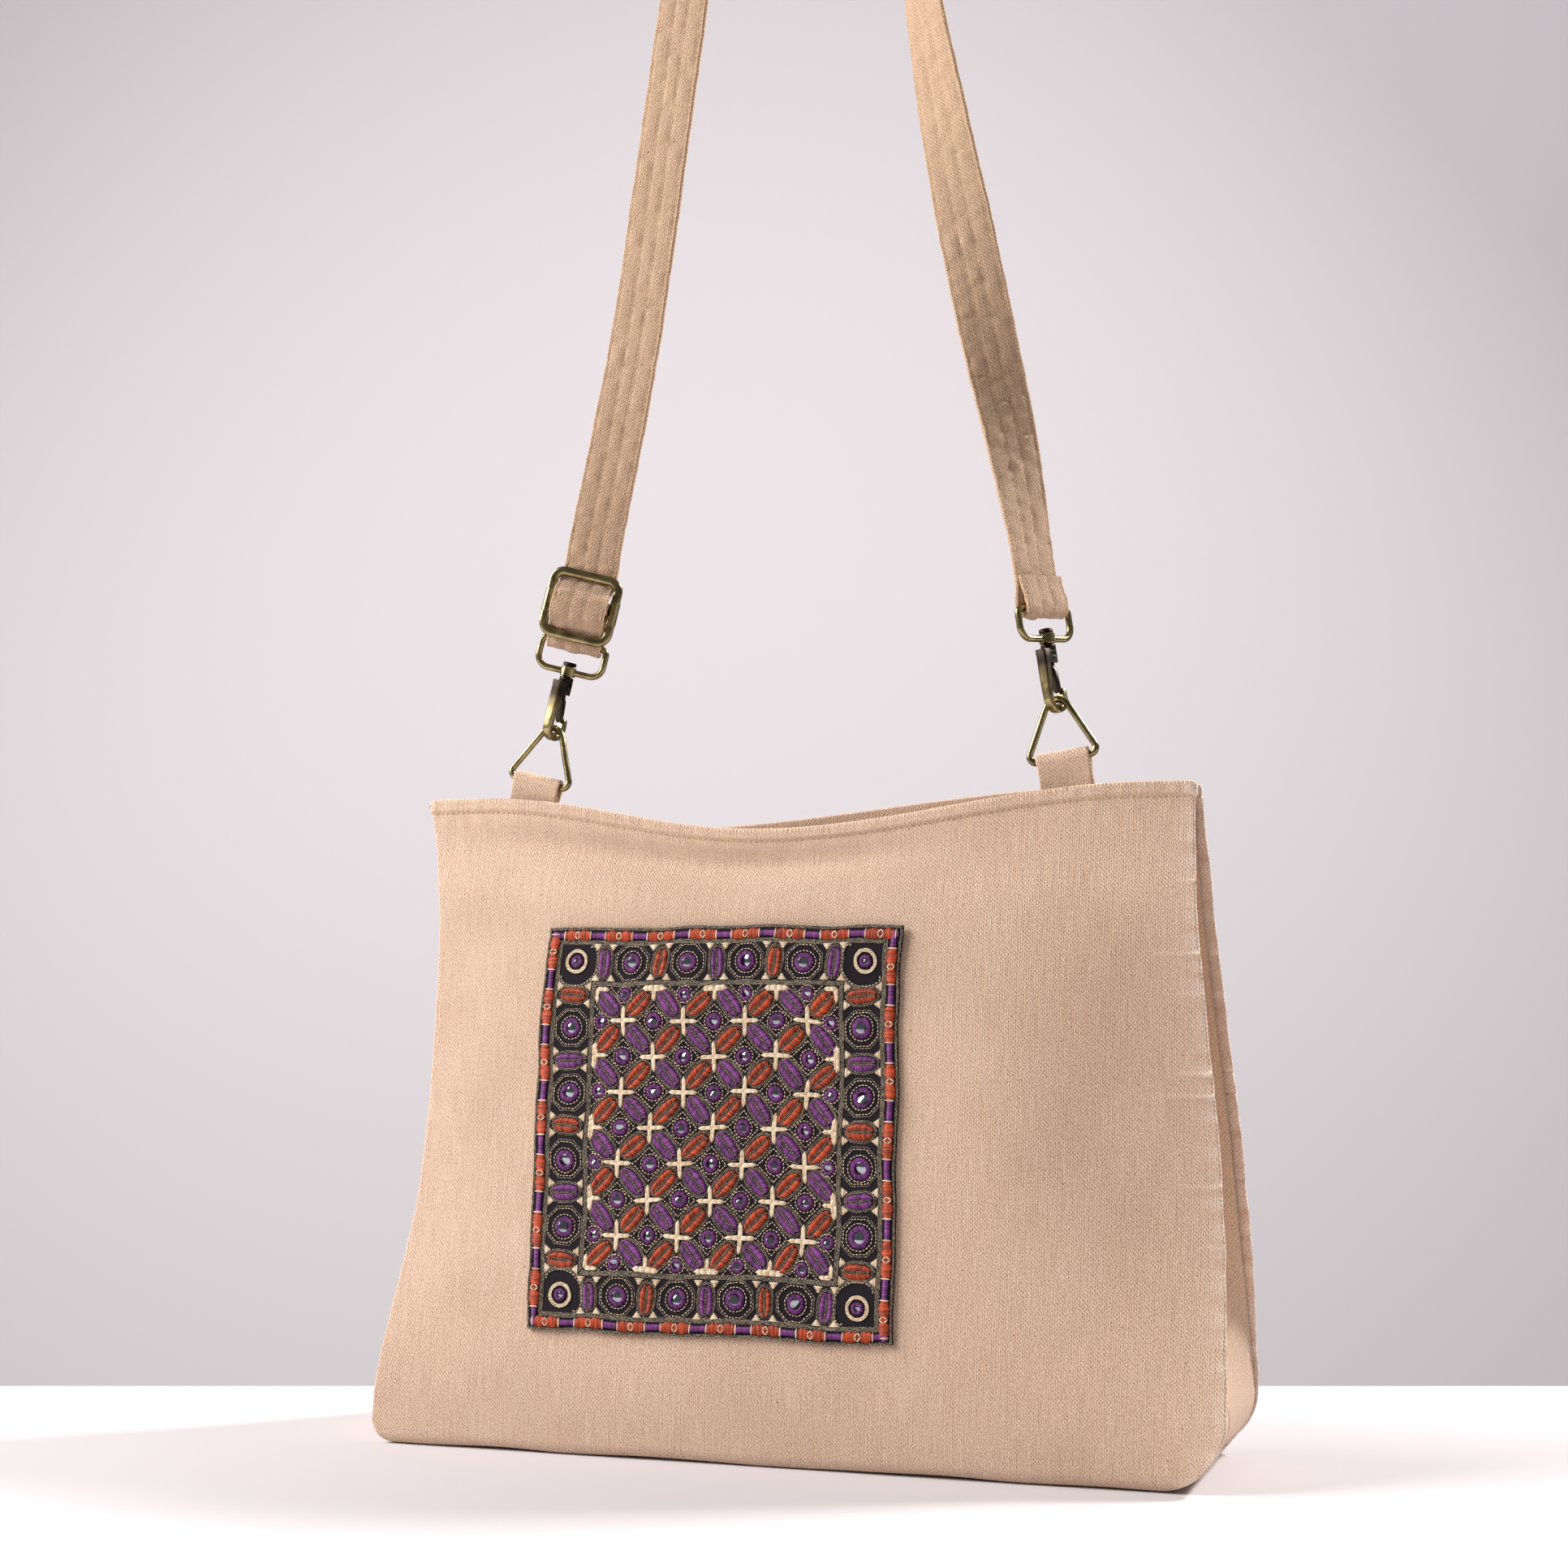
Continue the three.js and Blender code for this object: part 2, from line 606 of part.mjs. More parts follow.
// Gate: a lever with an eye on the hook's pin and a wider tongue that shuts behind the tip
function gate() {
  const run = new THREE.Vector2(GATE_END.back - GATE.pivotBack, GATE.pivotDown - GATE_END.down);
  const length = run.length();
  const half = GATE.width / 2;
  const eye = new THREE.Shape();
  eye.absarc(0, 0, GATE.eye, 0, Math.PI, false);
  eye.lineTo(-half, -GATE.eye);
  eye.lineTo(-half, -length + half);
  eye.lineTo(half, -length + half);
  eye.lineTo(half, -GATE.eye);
  eye.closePath();
  const bore = new THREE.Path();
  bore.absarc(0, 0, GATE.bore, 0, 2 * Math.PI, true);
  eye.holes.push(bore);
  const tongue = new THREE.BoxGeometry(GATE.tongue, GATE.width, length - TONGUE_START)
    .translate(0, 0, -(length + TONGUE_START) / 2);
  const slant = Math.atan2(run.x, -run.y);
  return geometryOf(joined([slab(eye, GATE.width), tongue]))
    .rotateX(slant)
    .translate(0, GATE.pivotBack, -GATE.pivotDown);
}

const sliderFrame = () => roundedLoop(
  SLIDER.halfWidth,
  -SLIDER.halfHeight,
  SLIDER.halfHeight,
  { lower: SLIDER.bend, upper: SLIDER.bend },
  SLIDER.wire,
);

function sliderBar() {
  const rod = post(SLIDER.wire / 2, -SLIDER.halfWidth, SLIDER.halfWidth).rotateY(Math.PI / 2);
  const sleeves = [-1, 1].map((side) => ({
    tube: post(SLEEVE.radius, -SLEEVE.half, SLEEVE.half).translate(side * SLIDER.halfWidth, 0, 0),
    bore: post(SLEEVE.bore, -SLIDER.halfHeight, SLIDER.halfHeight).translate(side * SLIDER.halfWidth, 0, 0),
  }));
  const whole = joined([rod, ...sleeves.map((sleeve) => sleeve.tube)]);
  return geometryOf(sleeves.reduce((rest, sleeve) => rest.subtract(solid(sleeve.bore)), whole));
}

// Hardware of one side in nested groups: the ring's base bar, then the hook's swivel above it
const bag = new THREE.Group();
const RING_BACK = RING_REACH * Math.sin(radians(RING.tiltBack));
const RING_UP = RING_REACH * Math.cos(radians(RING.tiltBack));
const eyeFrames = {};

for (const side of SIDES) {
  const hang = new THREE.Group();
  hang.position.set(side.x, TAB.y, side.z);
  hang.rotation.y = radians(side.lean);
  hang.add(node(`tab_${side.name}`, tab(), 'twill'));
  const ring = node(`triangle_ring_${side.name}`, triangleRing(), 'brass');
  ring.rotation.x = -radians(RING.tiltBack);
  hang.add(ring);
  const swivel = new THREE.Group();
  swivel.position.set(0, RING_BACK, RING_UP + HOOK.drop);
  const turning = new THREE.Group();
  turning.rotation.z = radians(side.hookTurn);
  turning.add(node(`hook_${side.name}`, hook(), 'brass'));
  turning.add(node(`gate_${side.name}`, gate(), 'blackened'));
  const strapEnd = new THREE.Group();
  strapEnd.rotation.z = radians(side.eyeTurn);
  strapEnd.add(node(`swivel_eye_${side.name}`, swivelEye(), 'brass'));
  if (side.name === 'left') {
    const slider = new THREE.Group();
    slider.position.set(0, -SLIDER.forward, SLIDER.rise);
    slider.add(node('slider_frame', sliderFrame(), 'brass'));
    slider.add(node('slider_bar', sliderBar(), 'brass'));
    strapEnd.add(slider);
  }
  swivel.add(turning, strapEnd);
  hang.add(swivel);
  bag.add(hang);
  hang.updateMatrixWorld(true);
  eyeFrames[side.name] = strapEnd.matrixWorld.clone();
}

// Strap: stations of a centre point and a direction across the width, from end to end
const HANG_Y = TAB.y + RING_BACK;

// Half a turn of strap round a bar, over its top from front to back or under it from back to front
function wrap(forward, up, over) {
  return range(WRAP.steps + 1).map((step) => {
    const angle = Math.PI * (step / WRAP.steps + (over ? 0 : 1));
    return {
      forward: forward + WRAP.radius * Math.cos(angle),
      up: up + WRAP.radius * Math.sin(angle),
    };
  });
}

function endStations(rows, frame) {
  const across = point(1, 0, 0).transformDirection(frame);
  return rows.map((row) => ({
    centre: point(0, -row.forward, row.up).applyMatrix4(frame),
    across: across.clone(),
  }));
}

const facing = (turn) => point(Math.cos(radians(turn)), Math.sin(radians(turn)), 0);

function legStations(rows) {
  const curve = new THREE.CatmullRomCurve3(rows.map((row) => row.centre));
  return range(LEG_STEPS + 1).map((step) => {
    const t = step / LEG_STEPS;
    const place = t * (rows.length - 1);
    const low = Math.min(Math.floor(place), rows.length - 2);
    const across = rows[low].across.clone().lerp(rows[low + 1].across, place - low).normalize();
    return { centre: curve.getPoint(t), across };
  });
}

const legRow = (row) => ({ centre: point(row.x, HANG_Y, row.z), across: facing(row.turn) });

function strap() {
  const overBar = wrap(SLIDER.forward, SLIDER.rise, true);
  const underEye = wrap(0, EYE.height, false);
  const leftEnd = endStations(
    [LEFT_FLAP, ...overBar, ...LEFT_RISE, ...underEye, ...LEFT_FRONT],
    eyeFrames.left,
  );
  const rightEnd = endStations([...RIGHT_BACK, ...underEye, ...RIGHT_FLAP], eyeFrames.right);
  const apex = range(APEX.steps + 1).map((step) => {
    const angle = radians(lerp(APEX.from, APEX.to, step / APEX.steps));
    const centre = point(APEX.x, HANG_Y, APEX.z);
    centre.add(point(Math.cos(angle), 0, Math.sin(angle)).multiplyScalar(APEX.radius));
    return { centre, across: facing(APEX.turn) };
  });
  const leftLeg = legStations([leftEnd.at(-1), ...LEFT_LEG.map(legRow), apex[0]]);
  const rightLeg = legStations([apex.at(-1), ...RIGHT_LEG.map(legRow), rightEnd[0]]);
  const stations = [
    ...leftEnd,
    ...leftLeg.slice(1, -1),
    ...apex,
    ...rightLeg.slice(1, -1),
    ...rightEnd,
  ];
  const rows = stations.map((station, i) => {
    const before = stations[Math.max(i - 1, 0)].centre;
    const after = stations[Math.min(i + 1, stations.length - 1)].centre;
    const along = after.clone().sub(before).normalize();
    const across = station.across.clone().addScaledVector(along, -station.across.dot(along)).normalize();
    const face = new THREE.Vector3().crossVectors(along, across);
    const place = (side, out) => station.centre.clone()
      .addScaledVector(across, (side * STRAP.width) / 2)
      .addScaledVector(face, (out * STRAP.thick) / 2);
    return {
      outer: [place(-1, 1), place(0, 1), place(1, 1)],
      inner: [place(-1, -1), place(0, -1), place(1, -1)],
    };
  });
  return wall(rows.map((row) => row.outer), rows.map((row) => row.inner));
}

bag.add(node('front_panel', panel(-1, FRONT_RIM), 'twill'));
bag.add(node('back_panel', panel(1, BACK_RIM), 'twill'));
bag.add(node('gusset_left', gusset('left'), 'twill'));
bag.add(node('gusset_right', gusset('right'), 'twill'));
bag.add(node('base_panel', base(), 'twill'));
bag.add(node('embroidered_patch', patch(), 'patch'));
bag.add(node('strap', strap(), 'twill'));

// The strap's under side at its highest point is the origin
bag.position.set(-APEX.x, -HANG_Y, -(APEX.z + APEX.radius - STRAP.thick / 2));

const part = new THREE.Group();
part.add(bag);

export default part;
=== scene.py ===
"""Embroidered sling bag: twill body, mirror-work patch, brass snap hooks and an adjustable strap.

Shapes are worked out in millimetres in the bag's own frame, with zero at mid base and the front facing -Y,
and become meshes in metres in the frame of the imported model.
"""
import logging
import math
from collections.abc import Sequence
from dataclasses import dataclass, field
from enum import Enum
from typing import NamedTuple

import bpy
import numpy as np
from mathutils import Matrix, Vector


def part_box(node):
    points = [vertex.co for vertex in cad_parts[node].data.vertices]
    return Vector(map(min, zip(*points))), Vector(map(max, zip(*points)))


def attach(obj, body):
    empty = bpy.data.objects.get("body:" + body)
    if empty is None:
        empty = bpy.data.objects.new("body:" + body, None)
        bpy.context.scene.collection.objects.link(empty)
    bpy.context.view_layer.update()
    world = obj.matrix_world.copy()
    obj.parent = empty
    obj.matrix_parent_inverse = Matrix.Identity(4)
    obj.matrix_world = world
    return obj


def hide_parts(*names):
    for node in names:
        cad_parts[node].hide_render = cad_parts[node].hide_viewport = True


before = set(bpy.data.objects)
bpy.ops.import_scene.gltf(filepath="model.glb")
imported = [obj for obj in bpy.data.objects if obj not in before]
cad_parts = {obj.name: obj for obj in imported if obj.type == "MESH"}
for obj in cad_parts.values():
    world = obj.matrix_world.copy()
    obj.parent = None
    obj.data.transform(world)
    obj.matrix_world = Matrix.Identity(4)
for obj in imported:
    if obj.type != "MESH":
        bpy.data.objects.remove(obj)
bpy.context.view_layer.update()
LOG = logging.getLogger("sling_bag")

Array = np.ndarray
Colour = tuple[float, float, float, float]
Spot = tuple[float, float, float]
Profile = tuple[tuple[float, float], ...]
MILLIMETRE = 0.001
TURN = 2 * math.pi
PATCH_MIDDLE_X = -30.0
CLOTH_MAP = "cloth"
SHADE = "shade"
SHARP_ANGLE = math.radians(42)
WAVE_RATIOS = np.array((0.53, 0.83, 1.0, 1.31, 1.77))
WAVE_WEIGHTS = np.array((0.26, 0.24, 0.22, 0.17, 0.11))


class Side(Enum):
    """The two ends of the bag, with the way in from each."""

    LEFT = 1
    RIGHT = -1


class Face(Enum):
    """The two walls of the bag, with the way out from each."""

    FRONT = -1
    BACK = 1


class Slot(Enum):
    """The record's material slots."""

    TWILL = "twill"
    EMBROIDERY = "embroidery"
    BRASS = "antique_brass"
    BLACKENED = "blackened_brass"


def bag_zero() -> Array:
    """Finds the bag's own zero, mid base under the cloth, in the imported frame.

    Returns:
        The point, in metres.
    """
    patch_low, patch_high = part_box("embroidered_patch")
    base_low, base_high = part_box("base_panel")
    x = (patch_low.x + patch_high.x) / 2 - PATCH_MIDDLE_X * MILLIMETRE
    return np.array((x, (base_low.y + base_high.y) / 2, base_low.z))


BAG_ZERO = bag_zero()


def srgb(code: str) -> Colour:
    """Turns a colour written as six hex digits into linear light.

    Args:
        code: The digits, without a mark before them.
    Returns:
        Red, green, blue and full cover.
    """
    levels = (int(code[i:i + 2], 16) / 255 for i in (0, 2, 4))
    red, green, blue = (((v + 0.055) / 1.055) ** 2.4 if v > 0.04045 else v / 12.92 for v in levels)
    return red, green, blue, 1.0


def wander(t: Array, wavelength: float, seed: int) -> Array:
    """Gives a gentle uneven wave along a length, the same on every run.

    Args:
        t: Places along the length.
        wavelength: The main wave's length, in the same unit.
        seed: Picks the phases of the waves that are summed.
    Returns:
        Heights between about -1 and 1.
    """
    phases = np.random.default_rng(seed).uniform(0, TURN, len(WAVE_RATIOS))
    turns = TURN * np.asarray(t)[..., None] * WAVE_RATIOS / wavelength
    return (np.sin(turns + phases) * WAVE_WEIGHTS).sum(-1) * 2


def swell(t: Array, middle: float, reach: float) -> Array:
    """Gives a smooth hump of height 1 at the middle that fades over the reach."""
    return np.exp(-(((np.asarray(t) - middle) / reach) ** 2))


def rounded(distance: Array, radius: float) -> Array:
    """Gives 0 at an edge and 1 past a radius from it, along a quarter circle."""
    inside = np.clip(1 - np.asarray(distance) / radius, 0, 1)
    return np.sqrt(1 - inside**2)


def unit(vectors: Array) -> Array:
    """Scales vectors to a length of 1."""
    return vectors / np.maximum(np.linalg.norm(vectors, axis=-1, keepdims=True), 1e-9)


def lengths(points: Array) -> Array:
    """Gives the length run along a line up to each of its points."""
    return np.concatenate(([0], np.cumsum(np.linalg.norm(np.diff(points, axis=0), axis=1))))


def between(stops: Array, run: Array, points: Array) -> Array:
    """Reads a line of points, which lie at given lengths along it, at other lengths."""
    return np.stack([np.interp(stops, run, column) for column in points.T], -1)


def edged(half: float, insets: Sequence[float], margin: float, count: int) -> Array:
    """Spaces columns from edge to edge of a sheet, close together at both edges.

    Args:
        half: Half the sheet's width.
        insets: The close columns' distances in from an edge.
        margin: How far in from the edges the even columns start and end.
        count: How many even columns there are.
    Returns:
        The columns' places across.
    """
    inset = np.array(insets)
    even = np.linspace(-half + margin, half - margin, count)
    return np.concatenate((-half + inset, even, half - inset[::-1]))


def linked(name: str, data: bpy.types.ID) -> bpy.types.Object:
    """Makes an object of some data and links it to the scene."""
    made = bpy.data.objects.new(name, data)
    bpy.context.scene.collection.objects.link(made)
    return made


def smoothed(mesh: bpy.types.Mesh) -> None:
    """Shades a mesh smooth, apart from its sharp edges."""
    mesh.polygons.foreach_set("use_smooth", np.ones(len(mesh.polygons), dtype=bool))
    mesh.set_sharp_from_angle(angle=SHARP_ANGLE)


def bag_points(mesh: bpy.types.Mesh) -> Array:
    """Gives a mesh's points in bag millimetres."""
    spots = np.empty(len(mesh.vertices) * 3, dtype=np.float32)
    mesh.vertices.foreach_get("co", spots)
    return (spots.reshape(-1, 3) - BAG_ZERO) / MILLIMETRE


def set_shade(mesh: bpy.types.Mesh, shade: Array) -> None:
    """Stores a shade from 0 to 1 on each point of a mesh, for its finish to read."""
    values = np.clip(shade, 0, 1).astype(np.float32)
    mesh.attributes.new(SHADE, "FLOAT", "POINT").data.foreach_set("value", values)


def signed_volume(points: Array, quads: Array) -> float:
    """Measures six times the volume inside a closed skin, negative when it is inside out."""
    a, b, c, d = (points[quads[:, k]] for k in range(4))
    return float((a * np.cross(b, c)).sum() + (a * np.cross(c, d)).sum())


class Skin:
    """A mesh in the making: points in bag millimetres, four-sided faces and a cloth coordinate each."""

    def __init__(self) -> None:
        """Starts with nothing."""
        self.points: list[Array] = []
        self.faces: list[Array] = []
        self.cloth: list[Array] = []
        self.count = 0

    def loft(self, sections: Array, cloth: Array | None = None, ring: bool = False) -> "Skin":
        """Adds a closed skin through sections that are closed loops.

        Args:
            sections: Sections by points by 3.
            cloth: Sections by points by 2, where each point lies on the flat cloth.
            ring: Whether the last section joins the first. Otherwise rungs cap both ends.
        Returns:
            This skin, so that calls can follow on.
        """
        rows, around = sections.shape[:2]
        number = np.arange(rows * around).reshape(rows, around)
        here = number if ring else number[:-1]
        ahead = np.roll(number, -1, axis=0) if ring else number[1:]
        beside = np.roll(here, -1, axis=1)
        beyond = np.roll(ahead, -1, axis=1)
        faces = [np.stack((here, beside, beyond, ahead), -1).reshape(-1, 4)]
        if not ring:
            for loop in (number[0], number[-1][::-1]):
                near = loop[:around // 2]
                far = loop[::-1][:around // 2]
                faces.append(np.stack((near[:-1], far[:-1], far[1:], near[1:]), -1))
        points = sections.reshape(-1, 3)
        quads = np.concatenate(faces)
        if signed_volume(points, quads) < 0:
            quads = quads[:, ::-1]
        flat = np.zeros((len(points), 2)) if cloth is None else cloth.reshape(-1, 2)
        self.points.append(points)
        self.faces.append(quads + self.count)
        self.cloth.append(flat)
        self.count += len(points)
        return self

    def sheet(self, upper: Array, lower: Array, flat: Array, apart: float) -> "Skin":
        """Adds a sheet through its two faces.

        Args:
            upper: Rows by columns by 3, on one face.
            lower: The same on the other face.
            flat: Rows by columns by 2, where each point lies on the flat cloth.
            apart: How far apart the faces lie on the cloth map, so that they don't look alike.
        Returns:
            This skin, so that calls can follow on.
        """
        return self.loft(
            np.concatenate((upper, lower[:, ::-1]), axis=1),
            np.concatenate((flat, flat[:, ::-1] + np.array((apart, 0.0))), axis=1),
        )

    def shape(self, name: str, material: bpy.types.Material) -> bpy.types.Object:
        """Makes the object, at the origin with its place in its mesh.

        Args:
            name: The piece's name.
            material: Its finish.
        Returns:
            The new object, linked to the scene.
        """
        points = np.concatenate(self.points) * MILLIMETRE + BAG_ZERO
        faces = np.concatenate(self.faces)
        cloth = np.concatenate(self.cloth)
        mesh = bpy.data.meshes.new(name)
        mesh.from_pydata(points.tolist(), [], faces.tolist())
        layer = mesh.uv_layers.new(name=CLOTH_MAP)
        corners = np.empty(len(mesh.loops), dtype=np.int32)
        mesh.loops.foreach_get("vertex_index", corners)
        layer.data.foreach_set("uv", cloth[corners].astype(np.float32).ravel())
        mesh.materials.append(material)
        smoothed(mesh)
        return linked(name, mesh)


def settle(piece: bpy.types.Object, body: str, slot: Slot, *replaced: str) -> bpy.types.Object:
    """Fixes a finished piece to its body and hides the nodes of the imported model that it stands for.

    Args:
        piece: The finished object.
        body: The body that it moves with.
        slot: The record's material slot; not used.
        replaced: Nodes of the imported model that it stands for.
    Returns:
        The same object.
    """
    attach(piece, body)
    if replaced:
        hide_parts(*replaced)
    LOG.info("%s rides on %s with %d faces", piece.name, body, len(piece.data.polygons))
    return piece


class Cut(NamedTuple):
    """How a sheet of cloth was cut, in metres, and how it is held on the finished bag."""

    width: float
    length: float
    area: float
    held: str
    rests_on: tuple[str, ...]

    def declare(self, piece: bpy.types.Object) -> bpy.types.Object:
        """Hands a piece back as it is; nothing of the cut is stored on it."""
        return piece


# Shader toolkit


class Value:
    """A shader socket that takes part in sums written in Python."""

    def __init__(self, shader: "Shader", socket: bpy.types.NodeSocket) -> None:
        """Wraps an output socket of a shader."""
        self.shader = shader
        self.socket = socket

    def _math(self, operation: str, first: "Value | float", second: "Value | float") -> "Value":
        """Adds one Math node for an operation on two numbers."""
        return self.shader.add("ShaderNodeMath", {"operation": operation}, {0: first, 1: second})

    def __add__(self, other: "Value | float") -> "Value":
        """Adds."""
        return self._math("ADD", self, other)

    __radd__ = __add__

    def __mul__(self, other: "Value | float") -> "Value":
        """Multiplies."""
        return self._math("MULTIPLY", self, other)

    __rmul__ = __mul__

    def __sub__(self, other: "Value | float") -> "Value":
        """Takes away."""
        return self._math("SUBTRACT", self, other)

    def __rsub__(self, other: float) -> "Value":
        """Is taken away."""
        return self._math("SUBTRACT", other, self)

    def __lt__(self, other: "Value | float") -> "Value":
        """Gives 1 where the value is below another."""
        return self._math("LESS_THAN", self, other)

    def sine(self) -> "Value":
        """Gives the sine."""
        return self._math("SINE", self, 0.0)


SocketInput = Value | float | Sequence[float]


class Shader:
    """A material's node tree, built by calls."""

    def __init__(self, name: str) -> None:
        """Starts a material with only its main shader.

        Args:
            name: The material's name.
        """
        self.material = bpy.data.materials.new(name)
        self.material.use_nodes = True
        self.tree = self.material.node_tree
        self.main = self.tree.nodes["Principled BSDF"]

    def feed(self, socket: bpy.types.NodeSocket, given: SocketInput) -> None:
        """Links a value to a socket, or sets the socket to a constant."""
        if isinstance(given, Value):
            self.tree.links.new(given.socket, socket)
        else:
            socket.default_value = given

    def add(
        self,
        kind: str,
        settings: dict[str, object] | None = None,
        sockets: dict[int | str, SocketInput] | None = None,
        output: int | str = 0,
    ) -> Value:
        """Adds a node of any type.

        Args:
            kind: The node's type name.
            settings: Its properties, or the stops of its ramp, which are set first.
            sockets: Values or links of its inputs, by number or name.
            output: Which output is wanted.
        Returns:
            That output, ready for sums.
        """
        node = self.tree.nodes.new(kind)
        for name, setting in (settings or {}).items():
            if name == "stops":
                self._set_stops(node.color_ramp, setting)
            else:
                setattr(node, name, setting)
        for key, given in (sockets or {}).items():
            self.feed(node.inputs[key], given)
        return Value(self, node.outputs[output])

    @staticmethod
    def _set_stops(ramp: bpy.types.ColorRamp, stops: Sequence[tuple[float, Colour]]) -> None:
        """Gives a ramp its stops, each a place and a colour."""
        while len(ramp.elements) < len(stops):
            ramp.elements.new(1.0)
        for element, (place, colour) in zip(ramp.elements, stops):
            element.position = place
            element.color = colour

    def mix(self, share: SocketInput, first: SocketInput, second: SocketInput) -> Value:
        """Mixes two colours.

        Args:
            share: How much of the second colour shows.
            first: The colour where the share is 0.
            second: The colour where the share is 1.
        Returns:
            The mixed colour.
        """
        settings = {"data_type": "RGBA"}
        return self.add("ShaderNodeMix", settings, {0: share, 6: first, 7: second}, 2)

    def noise(self, place: Value, scale: float, detail: float = 2.0, roughness: float = 0.5) -> Value:
        """Gives smooth noise around one half.

        Args:
            place: The coordinates that it reads.
            scale: Cells to each unit of the coordinates.
            detail: How many finer layers it has.
            roughness: How strong the finer layers are.
        Returns:
            The noise, from 0 to 1.
        """
        sockets = {"Vector": place, "Scale": scale, "Detail": detail, "Roughness": roughness}
        return self.add("ShaderNodeTexNoise", {}, sockets)

    def stretched(self, place: Value, scale: Sequence[float]) -> Value:
        """Scales coordinates, so that a pattern runs along one way."""
        return self.add("ShaderNodeMapping", {}, {"Vector": place, "Scale": scale})

    def object_place(self) -> Value:
        """Gives the place on the piece, in metres."""
        return self.add("ShaderNodeTexCoord", {}, {}, "Object")

    def cloth_place(self) -> tuple[Value, Value, Value]:
        """Gives the place on the flat cloth, whole and as its two numbers, in millimetres."""
        place = self.add("ShaderNodeUVMap", {"uv_map": CLOTH_MAP})
        u, v = (self.add("ShaderNodeSeparateXYZ", {}, {0: place}, axis) for axis in ("X", "Y"))
        return place, u, v

    def shade(self) -> Value:
        """Gives the shade that is stored on the piece's points."""
        return self.add("ShaderNodeAttribute", {"attribute_name": SHADE}, {}, "Fac")

    def bump(self, height: Value, distance: float, strength: float = 1.0) -> Value:
        """Turns a height into a bent normal.

        Args:
            height: The height, from 0 to 1.
            distance: What a height of 1 measures, in metres.
            strength: How much of the bend shows.
        Returns:
            The normal.
        """
        return self.add("ShaderNodeBump", {}, {"Height": height, "Distance": distance, "Strength": strength})

    def finish(self, sockets: dict[str, SocketInput]) -> bpy.types.Material:
        """Sets the main shader's sockets and gives the material."""
        for name, given in sockets.items():
            self.feed(self.main.inputs[name], given)
        return self.material


# Finishes


@dataclass(frozen=True)
class TwillFinish:
    """Cotton twill: fine wales, slubbed yarns, dark flecks, and pale folds and edges that are partly wear and
    partly painted highlight.

    Lengths are millimetres on the cloth map, apart from the relief, which is in metres.
    """

    name: str
    light: Colour = srgb("F9DCC3")
    dark: Colour = srgb("A07149")
    # Pale colour of worn edges and creases, partly painted highlight.
    wear_and_highlight: Colour = srgb("FFF0E2")
    fleck: Colour = srgb("5A4030")
    fleck_cell: float = 24.0
    fleck_size: float = 0.014
    fleck_share: float = 0.5
    wale: float = 1.2
    warp_pitch: float = 1.0
    weft_pitch: float = 0.8
    lean: float = 1.0
    drift: float = 4.0
    speck_scale: float = 1.3
    slub_scale: tuple[float, float, float] = (1.1, 0.05, 1.0)
    cloud_scale: float = 0.018
    base_tone: float = -0.26
    relief: float = 0.0009

    def material(self) -> bpy.types.Material:
        """Builds the material.

        Returns:
            The finished material.
        """
        shader = Shader(self.name)
        place, u, v = shader.cloth_place()
        drift = shader.noise(place, 0.3) * self.drift
        wales = ((u + v * self.lean) * (TURN / (self.wale * math.sqrt(2))) + drift).sine() * 0.5 + 0.5
        warps = (u * (TURN / self.warp_pitch) + drift * 1.6).sine() * 0.5 + 0.5
        wefts = (v * (TURN / self.weft_pitch) + drift * 1.6).sine() * 0.5 + 0.5
        speck = shader.noise(place, self.speck_scale, 3.0, 0.7) * 2.0 - 0.5
        weave = warps * (wefts * 0.5 + 0.5) * 0.45 + wales * 0.55
        slub = shader.noise(shader.stretched(place, self.slub_scale), 1.0)
        cloud = shader.noise(place, self.cloud_scale)
        tone = weave * 0.4 + speck * 0.75 + slub * 0.4 + cloud * 0.2 + self.base_tone
        cells = {"feature": "F1", "voronoi_dimensions": "2D"}
        spread = {"Vector": place, "Scale": 1 / self.fleck_cell}
        near = shader.add("ShaderNodeTexVoronoi", cells, spread, "Distance")
        draw = shader.add("ShaderNodeTexVoronoi", cells, spread, "Color")
        # The box.
        chosen = shader.add("ShaderNodeSeparateColor", {}, {0: draw}, "Red") < self.fleck_share
        cotton = shader.mix(tone, self.dark, self.light)
        yarn = shader.mix((near < self.fleck_size) * chosen * 0.7, cotton, self.fleck)
        # Painted pale where the points' shade marks worn edges and creases: partly wear, partly painted
        # highlight.
        colour = shader.mix(shader.shade() * (speck * 0.8 + 0.3), yarn, self.wear_and_highlight)
        normal = shader.bump(weave * 0.4 + speck * 0.45 + slub * 0.25, self.relief, 0.9)
        return shader.finish({
            "Base Color": colour,
            "Roughness": 0.92,
            "Sheen Weight": 0.25,
            "Sheen Roughness": 0.6,
            "Specular IOR Level": 0.15,
            "Normal": normal,
        })


